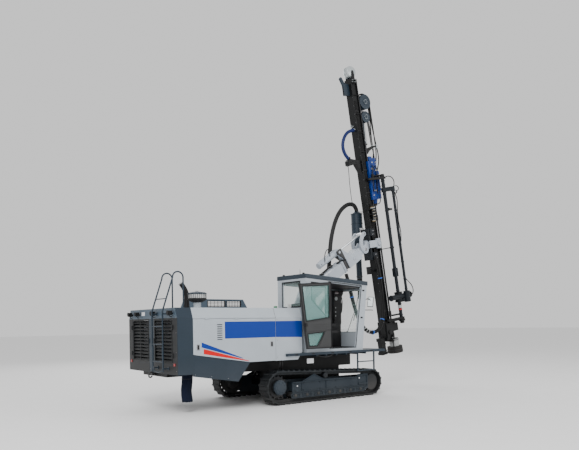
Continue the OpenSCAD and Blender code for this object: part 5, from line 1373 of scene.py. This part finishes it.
def make_discs_and_top():
    """Discs: broad rims, hubs and bolts; silver top drum in its bracket; hook plate."""
    for name, x, z, r in (("upper", 0.33, 7.28, 0.205), ("lower", 0.28, 6.855, 0.155)):
        disc = Piece(f"hose_disc_{name}", "feed", "slate", FEED)
        disc_bolts = Piece(f"hose_disc_{name}_bolts", "feed", "silver", FEED)
        wide = 0.136
        r1 = min(r + 0.006, x - 0.121)
        for s in (-1, 1):
            disc.turn([(r * 0.80, 0.056), (r * 0.80, wide - 0.012), (r1, wide - 0.010), (r1, wide),
                       (r1 - 0.014, wide + 0.003), (r1 - 0.022, wide - 0.003), (0.082, wide - 0.003),
                       (0.076, wide + 0.010), (0.040, wide + 0.012), (0.036, wide + 0.024),
                       (0.0002, wide + 0.026)], (x, 0, z), (0, s, 0), 48)
            disc_bolts.hexes([(x + 0.058 * math.cos(a), s * (wide + 0.011), z + 0.058 * math.sin(a))
                              for a in [2 * math.pi * k / 8 for k in range(8)]], (0, s, 0), 0.009, 0.007)
        disc.done()
        disc_bolts.done()
    drum = Piece("top_drum", "feed", "silver", FEED)
    drum.turn([(0.020, -0.118), (0.100, -0.112), (0.148, -0.096), (0.165, -0.070), (0.170, -0.0565),
               (0.1505, -0.056), (0.1505, 0.056), (0.170, 0.0565), (0.165, 0.070), (0.148, 0.096),
               (0.100, 0.112), (0.020, 0.118)], (0, 0, 8.11), (0, 1, 0), 48)
    drum.done()
    bracket = Piece("top_drum_bracket", "feed", "black", FEED)
    for s in (-1, 1):
        bracket.prism([(-0.075, 7.78), (0.055, 7.78), (0.045, 8.06), (0.030, 8.14), (-0.030, 8.14),
                       (-0.050, 8.06)], *sorted((s * 0.1185, s * 0.132)))
        bracket.box((-0.10, min(s * 0.085, s * 0.132), 7.80), (0.10, max(s * 0.085, s * 0.132), 7.90))
    bracket.done(bevel=0.005)
    bracket_bolts = Piece("top_drum_bolts", "feed", "silver", FEED)
    for s in (-1, 1):
        bracket_bolts.hexes([(x, s * 0.132, z) for x in (-0.06, 0.0, 0.06) for z in (7.825, 7.875)],
                            (0, s, 0), 0.010, 0.008)
    bracket_bolts.done()
    hook = Piece("hook_plate", "feed", "slate", FEED)
    for y in (-0.0275, 0.0215):
        hook.prism([(-0.1206, 7.470), (-0.345, 7.470), (-0.345, 7.74), (-0.415, 7.93), (-0.355, 7.955),
                    (-0.275, 7.80), (-0.1206, 7.775)], y, y + 0.006)
    hook.prism([(-0.330, 7.70), (-0.345, 7.74), (-0.430, 7.925), (-0.385, 7.965), (-0.350, 7.945),
                (-0.270, 7.79)], -0.030, 0.030)
    hook.box((-0.347, -0.035, 7.464), (-0.1206, 0.035, 7.474))
    hook.done(bevel=0.003)
    arm_trim = Piece("hose_bracket_trim", "feed", "black", FEED)
    arm_trim.hexes([(x, -0.0803, z) for x,
                    z in ((-0.18, 5.58), (-0.18, 5.40), (-0.30, 5.60), (-0.42, 5.62), (-0.50, 5.60))],
                    (0, -1, 0), 0.014, 0.012)
    arm_trim.turn([(0.052, 0), (0.052, 0.05), (0.044, 0.055)], (-0.485, 0, 5.70), (-0.35, 0, 0.94), 24)
    arm_trim.done()
    hose_clips = Piece("flushing_hose_clips", "feed", "silver", FEED)
    for at, way in (((-0.135, 0, 6.52), (1, 0, 0.1)), ((-0.49, 0, 5.70), (-0.7, 0, 0.7))):
        hose_clips.turn([(0.041, -0.02), (0.046, -0.02), (0.046, 0.02), (0.041, 0.02)], at, way, 24)
    for k in range(3):
        hose_clips.tube([(-0.122, -0.03 + 0.03 * k, 6.62), (-0.20, -0.03 + 0.03 * k, 6.60 + 0.03 * k),
                         (-0.26, -0.02 + 0.02 * k, 6.54), (-0.30, 0.0, 6.495)], 0.006, 6)
    hose_clips.done()


make_discs_and_top()

CY = turned((2.9404, 0.710, 3.150), -2.7)


def make_cyclone_details():
    """Cyclone: flanges, lid, clamps, dust-bag neck and blank plate."""
    flanges = Piece("cyclone_flanges", "feed_cradle", "slate", CY)
    for z, r in ((0.898, 0.166), (1.25, 0.166), (1.60, 0.166), (1.885, 0.166)):
        flanges.turn([(r, 0), (r + 0.012, 0.003), (r + 0.012, 0.017), (r, 0.020)], (0, 0, z), sides=48)
    flanges.turn([(0.10, 0), (0.14, 0.010), (0.10, 0.030), (0.07, 0.060)], (0, 0, 1.900), sides=40)
    flanges.box((-0.05, -0.19, 1.25), (0.05, -0.160, 1.48))
    flanges.done(bevel=0.002)
    clamps = Piece("cyclone_clamps", "feed_cradle", "dark_steel", CY)
    for k in range(6):
        a = 2 * math.pi * (k + 0.5) / 6
        clamps.box((0.176 * math.cos(a) - 0.012, 0.176 * math.sin(a) - 0.012, 0.885),
                   (0.176 * math.cos(a) + 0.012, 0.176 * math.sin(a) + 0.012, 0.935))
    clamps.turn([(0.087, 0), (0.094, 0.004), (0.094, 0.03), (0.087, 0.034)], (0, 0, 0.04), sides=32)
    clamps.done(bevel=0.003)
    plate = Piece("cyclone_blank_plate", "feed_cradle", "plate", CY)
    plate.box((-0.08, -0.195, 1.27), (0.08, -0.1905, 1.46))
    plate.done(bevel=0.001)
    outlet = Piece("cyclone_outlet", "feed_cradle", "hose", CY)
    outlet.tube([(0, 0, -0.005), (0, 0, -0.06), (0.005, 0, -0.12), (0.005, 0, -0.30), (0.0, 0, -0.45),
                 (0.008, 0, -0.60)], 0.080, 20, 8, wave=0.004)
    outlet.done()


make_cyclone_details()


def make_cradle_details():
    """Cradle: swing drive housing, bolts and thin arm to the rod changer."""
    housing = Piece("swing_drive_housing", "feed_cradle", "boom", FEED)
    housing.box((-0.10, -0.262, 3.110), (0.052, -0.1895, 3.392))
    housing.box((-0.40, -0.262, 3.150), (-0.10, -0.2515, 3.350))
    housing.turn([(0.075, 0), (0.075, 0.030), (0.060, 0.036), (0.0002, 0.038)], (-0.02, -0.262, 3.25),
                 (0, -1, 0), 32)
    housing.done(bevel=0.010)
    bolts = Piece("cradle_bolts", "feed_cradle", "steel", FEED)
    bolts.hexes([(-0.15 + 0.05 * k, -0.1703, z) for k in range(2) for z in (2.85, 2.95, 3.53, 3.63)],
                (0, -1, 0), 0.013, 0.010)
    bolts.hexes([(-0.02 + 0.045 * math.cos(a), -0.298, 3.25 + 0.045 * math.sin(a))
                 for a in [2 * math.pi * k / 6 for k in range(6)]], (0, -1, 0), 0.008, 0.006)
    bolts.done()
    thin_arm = Piece("cradle_thin_arm", "feed", "dark", FEED)
    thin_arm.rod((0.07, -0.17, 3.060), (0.38, -0.33, 3.068), 0.012, 12)
    thin_arm.box((0.06, -0.19, 3.03), (0.10, -0.126, 3.09))
    thin_arm.turn([(0.066, 0), (0.066, 0.05), (0.052, 0.05)], (0.445, -0.29, 3.04), sides=28)
    thin_arm.done(bevel=0.003)


make_cradle_details()


def make_drifter_details():
    """Drifter."""
    castings = Piece("drifter_details", "drifter", "blue", FEED)
    castings.turn([(0.096, 0), (0.104, 0.004), (0.104, 0.05), (0.096, 0.054)], (DRILL_X, 0, 4.74), sides=40)
    castings.turn([(0.096, 0), (0.108, 0.004), (0.108, 0.06), (0.096, 0.064)], (DRILL_X, 0, 5.20), sides=40)
    castings.turn([(0.060, 0), (0.085, 0.0), (0.085, 0.05), (0.06, 0.06), (0.03, 0.075)], (DRILL_X, 0, 5.69),
                  sides=32)
    castings.turn([(0.062, 0), (0.072, 0.004), (0.072, 0.040), (0.062, 0.044)], (0.44, -0.10, 4.84), sides=32)
    castings.turn([(0.060, 0), (0.070, 0.006), (0.070, 0.09), (0.040, 0.105)], (0.44, -0.10, 5.216), sides=32)
    castings.turn([(0.045, 0), (0.052, 0.004), (0.052, 0.03), (0.046, 0.034)], (0.44, 0.07, 4.90), sides=28)
    castings.ball((0.44, 0.07, 5.09), 0.0455)
    castings.box((0.06, -0.165, 4.56), (0.20, -0.1455, 4.70))
    castings.box((0.18, -0.160, 5.44), (0.36, -0.1355, 5.62))
    castings.box((0.16, -0.12, 5.68), (0.28, 0.06, 5.74))
    for z in (4.80, 4.95, 5.10, 5.25):
        castings.box((0.148, -0.106, z), (0.236, 0.106, z + 0.025))
    castings.rod((0.20, -0.155, 4.66), (0.20, -0.155, 5.38), 0.016, 12)
    castings.rod((0.26, -0.150, 4.66), (0.26, -0.150, 5.38), 0.016, 12)
    castings.done(bevel=0.004)
    nuts = Piece("drifter_nuts", "drifter", "steel", FEED)
    for x, y in ((0.20, -0.155), (0.26, -0.150)):
        nuts.rod((x, y, 5.36), (x, y, 5.40), 0.026, 6)
        nuts.rod((x, y, 4.74), (x, y, 4.775), 0.026, 6)
    nuts.hexes([(x, -0.1453, z) for x in (0.33, 0.41) for z in (4.56, 4.66, 4.72)], (0, -1, 0), 0.014, 0.012)
    nuts.hexes([(x, -0.1355, z) for x in (0.39, 0.42) for z in (5.42, 5.50, 5.58, 5.66)], (0, -1, 0), 0.012,
               0.010)
    for x, y, z in ((0.42, -0.14, 5.20), (0.50, 0.03, 5.24), (0.42, -0.165, 4.86), (0.36, -0.14, 5.55)):
        nuts.rod((x, y - 0.005, z), (x, y - 0.03, z), 0.018, 6)
    nuts.done()
    plugs = Piece("drifter_plugs", "drifter", "pale", FEED)
    plugs.turn([(0.022, 0), (0.022, 0.010), (0.016, 0.013)], (0.24, -0.160, 5.56), (0, -1, 0), 20)
    plugs.turn([(0.018, 0), (0.018, 0.010), (0.012, 0.013)], (0.14, -0.165, 4.63), (0, -1, 0), 20)
    plugs.done()
    water_head = Piece("drifter_water_head", "drifter", "gasket", FEED)
    water_head.turn([(0.062, 0), (0.085, 0.004), (0.085, 0.030), (0.070, 0.036)],
                    (DRILL_X, 0, 4.402 - 0.040), sides=36)
    water_head.tube([(0.38, -0.02, 4.385), (0.46, -0.03, 4.40), (0.50, -0.04, 4.47), (0.47, -0.08, 4.60),
                     (0.44, -0.10, 4.72)], 0.014, 10)
    water_head.done()
    for i, pts in enumerate(([(0.32, -0.150, 5.47), (0.36, -0.19, 5.38), (0.35, -0.19, 5.20),
                              (0.30, -0.185, 4.95), (0.29, -0.175, 4.78), (0.28, -0.155, 4.68)],
                             [(0.22, -0.150, 5.50), (0.22, -0.20, 5.40), (0.15, -0.21, 5.25),
                              (0.13, -0.21, 5.05), (0.14, -0.20, 4.85), (0.14, -0.168, 4.72)])):
        hose(f"drifter_jumper_{i}", "drifter", pts, 0.014, "hose", FEED)


make_drifter_details()

CH = FEED @ Matrix.Translation(CHANGER)


def make_changer_details():
    """Rod changer."""
    collars = Piece("changer_collars", "rod_changer", "dark", CH)
    for z in (1.06, 1.38, 1.78, 2.24, 2.44, 3.05, 3.60, 4.12, 4.60, 4.86, 4.98):
        collars.turn([(0.051, 0), (0.060, 0.003), (0.060, 0.027), (0.051, 0.030)], (0, 0, z), sides=28)
    for z in (1.80, 2.10, 2.6, 3.1, 3.6, 4.1, 4.5):
        collars.turn([(0.041, 0), (0.048, 0.003), (0.048, 0.022), (0.041, 0.025)], (0.18, -0.17, z), sides=24)
    collars.box((-0.06, -0.062, 2.21), (0.062, 0.062, 2.46))
    collars.done(bevel=0.003)
    star = Piece("changer_star_hub", "rod_changer", "black", CH)
    for k in range(10):
        a = 2 * math.pi * k / 10
        star.rod((0.10 * math.cos(a), 0.10 * math.sin(a), 1.55 + 0.04 * (k % 2)),
                 (0.155 * math.cos(a), 0.155 * math.sin(a), 1.55 + 0.04 * (k % 2)), 0.020, 6, 0.014)
    for z in (1.46, 1.72):
        star.turn([(0.111, 0), (0.124, 0.004), (0.124, 0.024), (0.111, 0.028)], (0, 0, z), sides=36)
    star.turn([(0.076, 0), (0.088, 0.004), (0.088, 0.030), (0.076, 0.034)], (-0.44, -0.10, 1.62), (1, 0, 0),
              28)
    star.turn([(0.076, 0), (0.090, 0.004), (0.090, 0.040), (0.076, 0.044)], (0.355, -0.10, 1.62), (1, 0, 0),
              28)
    star.turn([(0.0002, 0), (0.055, 0.0), (0.055, 0.014), (0.04, 0.02)], (0.40, -0.10, 1.62), (1, 0, 0), 28)
    for k in range(6):
        a = 2 * math.pi * k / 6
        star.rod((-0.36, -0.10 + 0.066 * math.cos(a), 1.62 + 0.066 * math.sin(a)),
                 (0.36, -0.10 + 0.066 * math.cos(a), 1.62 + 0.066 * math.sin(a)), 0.010, 8)
    star.done()
    pale_band = Piece("changer_pale_band", "rod_changer", "pale", CH)
    pale_band.turn([(0.0505, 0), (0.056, 0.003), (0.056, 0.077), (0.0505, 0.080)], (0, 0, 1.28), sides=28)
    pale_band.done()
    red_band = Piece("changer_red_band", "rod_changer", "red", CH)
    red_band.turn([(0.0505, 0), (0.0555, 0.002), (0.0555, 0.033), (0.0505, 0.035)], (0, 0, 1.22), sides=28)
    red_band.done()
    low_arms = Piece("changer_low_arms", "feed", "black", FEED)
    for z in (1.10, 0.94):
        low_arms.rod((0.16, -0.19, z), (0.40, -0.285, z), 0.026, 14)
    low_arms.turn([(0.075, 0), (0.095, 0.01), (0.095, 0.06), (0.075, 0.07)],
                  (CHANGER.x + 0.005, CHANGER.y - 0.005, 0.935 - 0.055), sides=32)
    low_arms.turn([(0.050, 0), (0.065, 0.01), (0.065, 0.05), (0.045, 0.06)],
                  (CHANGER.x + 0.005, CHANGER.y - 0.005, 0.82), sides=32)
    low_arms.done(bevel=0.003)
    top_bracket = Piece("changer_top_bracket", "feed", "black", FEED)
    top_bracket.box((0.1206, -0.20, 5.118), (0.22, -0.12, 5.22))
    top_bracket.rod((0.18, -0.17, 5.16), (0.445, -0.29, 5.16), 0.030, 14)
    top_bracket.turn([(0.062, 0), (0.062, 0.07), (0.05, 0.08)], (CHANGER.x, CHANGER.y, 5.112), sides=28)
    top_bracket.done(bevel=0.003)
    fittings = Piece("changer_top_fittings", "rod_changer", "silver", CH)
    for z, x in ((4.70, 0.262), (4.745, 0.262), (4.66, 0.25)):
        fittings.rod((0.18, -0.17, z), (x, -0.20, z), 0.014, 6)
    fittings.rod((0.24, -0.20, 4.80), (0.24, -0.20, 4.84), 0.016, 6)
    fittings.done()
    claw = Piece("changer_claw_trim", "rod_changer", "black", CH)
    swung = Matrix.Rotation(math.radians(27), 4, "Z")
    for z in (1.53, 4.15):
        for x in (0.10, 0.16, 0.22):
            p0 = swung @ Vector((x, -0.02, z + 0.06))
            claw.rod(p0, p0 + Vector((0, 0, 0.012)), 0.013, 6)
        a = swung @ Vector((0.27, 0.045, z - 0.010))
        tip = swung @ Vector((0.36, 0.115, z + 0.030))
        claw.rod(a, tip, 0.018, 10)
        claw.rod(swung @ Vector((0.05, -0.055, z + 0.03)), swung @ Vector((0.26, -0.080, z + 0.03)), 0.022,
                 14)
    claw.done()
    ring = Piece("changer_top_ring", "rod_changer", "black", CH)
    pts = [(0.30 + 0.13 * math.cos(a), -0.17, 4.74 + 0.075 * math.sin(a))
           for a in [2 * math.pi * j / 16 for j in range(17)]]
    ring.tube(pts, 0.012, 8, 2)
    ring.tube([(0.20, -0.17, 4.64), (0.28, -0.17, 4.60), (0.34, -0.16, 4.62), (0.36, -0.15, 4.68)], 0.016, 8,
              3)
    ring.done()


make_changer_details()


def make_foot_and_hood():
    """Foot and dust hood."""
    foot = Piece("foot_details", "feed", "black", FEED)
    foot.turn([(0.095, 0), (0.110, 0.006), (0.110, 0.05), (0.095, 0.056)], (DRILL_X, 0, 0.850), sides=36)
    for s in (-1, 1):
        foot.turn([(0.060, 0), (0.060, 0.040), (0.045, 0.048)], (0.02, s * 0.1453, 0.62), (0, s, 0), 24)
        foot.turn([(0.035, 0), (0.035, 0.050), (0.025, 0.055)], (0.12, s * 0.1453, 0.50), (0, s, 0), 20)
        foot.rod((-0.10, s * 0.165, 0.46), (-0.10, s * 0.165, 0.80), 0.030, 16)
        foot.rod((-0.10, s * 0.165, 0.80), (-0.10, s * 0.165, 0.94), 0.014, 12)
        foot.hexes([(x, s * 0.1453, z) for x in (-0.12, 0.17) for z in (0.43, 0.54)], (0, s, 0), 0.016, 0.012)
    for k in range(5):
        foot.rod((-0.30 + 0.035 * k, -0.0805, 0.14 + 0.05 * (k % 2)),
                 (-0.30 + 0.035 * k, -0.095, 0.14 + 0.05 * (k % 2)), 0.012, 6)
    foot.box((-0.325, -0.101, 0.10), (-0.145, -0.0806, 0.135))
    foot.box((-0.325, -0.101, 0.30), (-0.145, -0.0806, 0.335))
    foot.done(bevel=0.003)
    guide_steel = Piece("foot_guide_steel", "feed", "steel", FEED)
    for s in (-1, 1):
        guide_steel.rod((0.080, s * 0.175, 0.441), (0.080, s * 0.175, 0.470), 0.022, 6)
    guide_steel.done()
    can = Piece("dust_hood_can", "dust_hood", "pale", FEED)
    profile = [(0.1355, 0.0)]
    for k in range(4):
        z = 0.006 + 0.054 * k
        profile += [(0.139, z), (0.146, z + 0.012), (0.146, z + 0.034), (0.139, z + 0.046)]
    profile += [(0.1355, 0.226)]
    can.turn(profile, (DRILL_X, 0, 0.150), sides=48)
    can.done()
    skirt = Piece("dust_hood_skirt", "dust_hood", "rubber", FEED)
    skirt.turn([(0.130, 0.196), (0.150, 0.190), (0.185, 0.168), (0.215, 0.142), (0.229, 0.110),
                (0.232, 0.050), (0.228, 0.0), (0.206, 0.0), (0.205, 0.10), (0.19, 0.13)],
                (DRILL_X, 0, -0.040), sides=56)
    skirt.done()
    hood_band = Piece("dust_hood_band", "dust_hood", "dark_steel", FEED)
    hood_band.turn([(0.147, 0), (0.152, 0.002), (0.152, 0.016), (0.147, 0.018)], (DRILL_X, 0, 0.340),
                   sides=48)
    hood_band.turn([(0.232, 0), (0.235, 0.002), (0.235, 0.014), (0.231, 0.016)], (DRILL_X, 0, 0.050),
                   sides=56)
    hood_band.done()
    couplings = Piece("drill_rod_couplings", "drill_rod", "dark_steel", FEED)
    couplings.turn([(0.0262, 0), (0.040, 0.012), (0.040, 0.16), (0.0262, 0.172)], (DRILL_X, 0, 1.05),
                   sides=28)
    couplings.turn([(0.0262, 0), (0.040, 0.012), (0.040, 0.16), (0.0262, 0.172)], (DRILL_X, 0, 3.90),
                   sides=28)
    couplings.done()


make_foot_and_hood()

# Light and floor
def area(name, at, target, size, power, colour=(1, 1, 1)):
    lamp = bpy.data.lights.new(name, "AREA")
    lamp.energy, lamp.size, lamp.color = power, size, colour
    o = bpy.data.objects.new(name, lamp)
    o.location = at
    o.rotation_euler = (Vector(target) - Vector(at)).to_track_quat("-Z", "Y").to_euler()
    bpy.context.scene.collection.objects.link(o)


area("key_light", (-12, -11, 13), (0, 0, 2.5), 8, 2250)
area("fill_light", (9, -13, 8), (1, 0, 3), 10, 650)
area("back_light", (3, 14, 12), (0, 0, 3), 10, 900)
world = bpy.data.worlds.new("studio")
bpy.context.scene.world = world
world.use_nodes = True
sky = world.node_tree.nodes["Background"]
sky.inputs[0].default_value = (1, 1, 1, 1)
sky.inputs[1].default_value = 0.90
floor_mesh = bpy.data.meshes.new("floor")
b = bmesh.new()
bmesh.ops.create_grid(b, x_segments=1, y_segments=1, size=120)
b.to_mesh(floor_mesh)
b.free()
floor_mesh.materials.append(surface("pale_floor", (0.86, 0.86, 0.86), 0.8, grain=0.0, patchy=0.01))
floor = bpy.data.objects.new("floor", floor_mesh)
floor.location.z = -0.002
bpy.context.scene.collection.objects.link(floor)
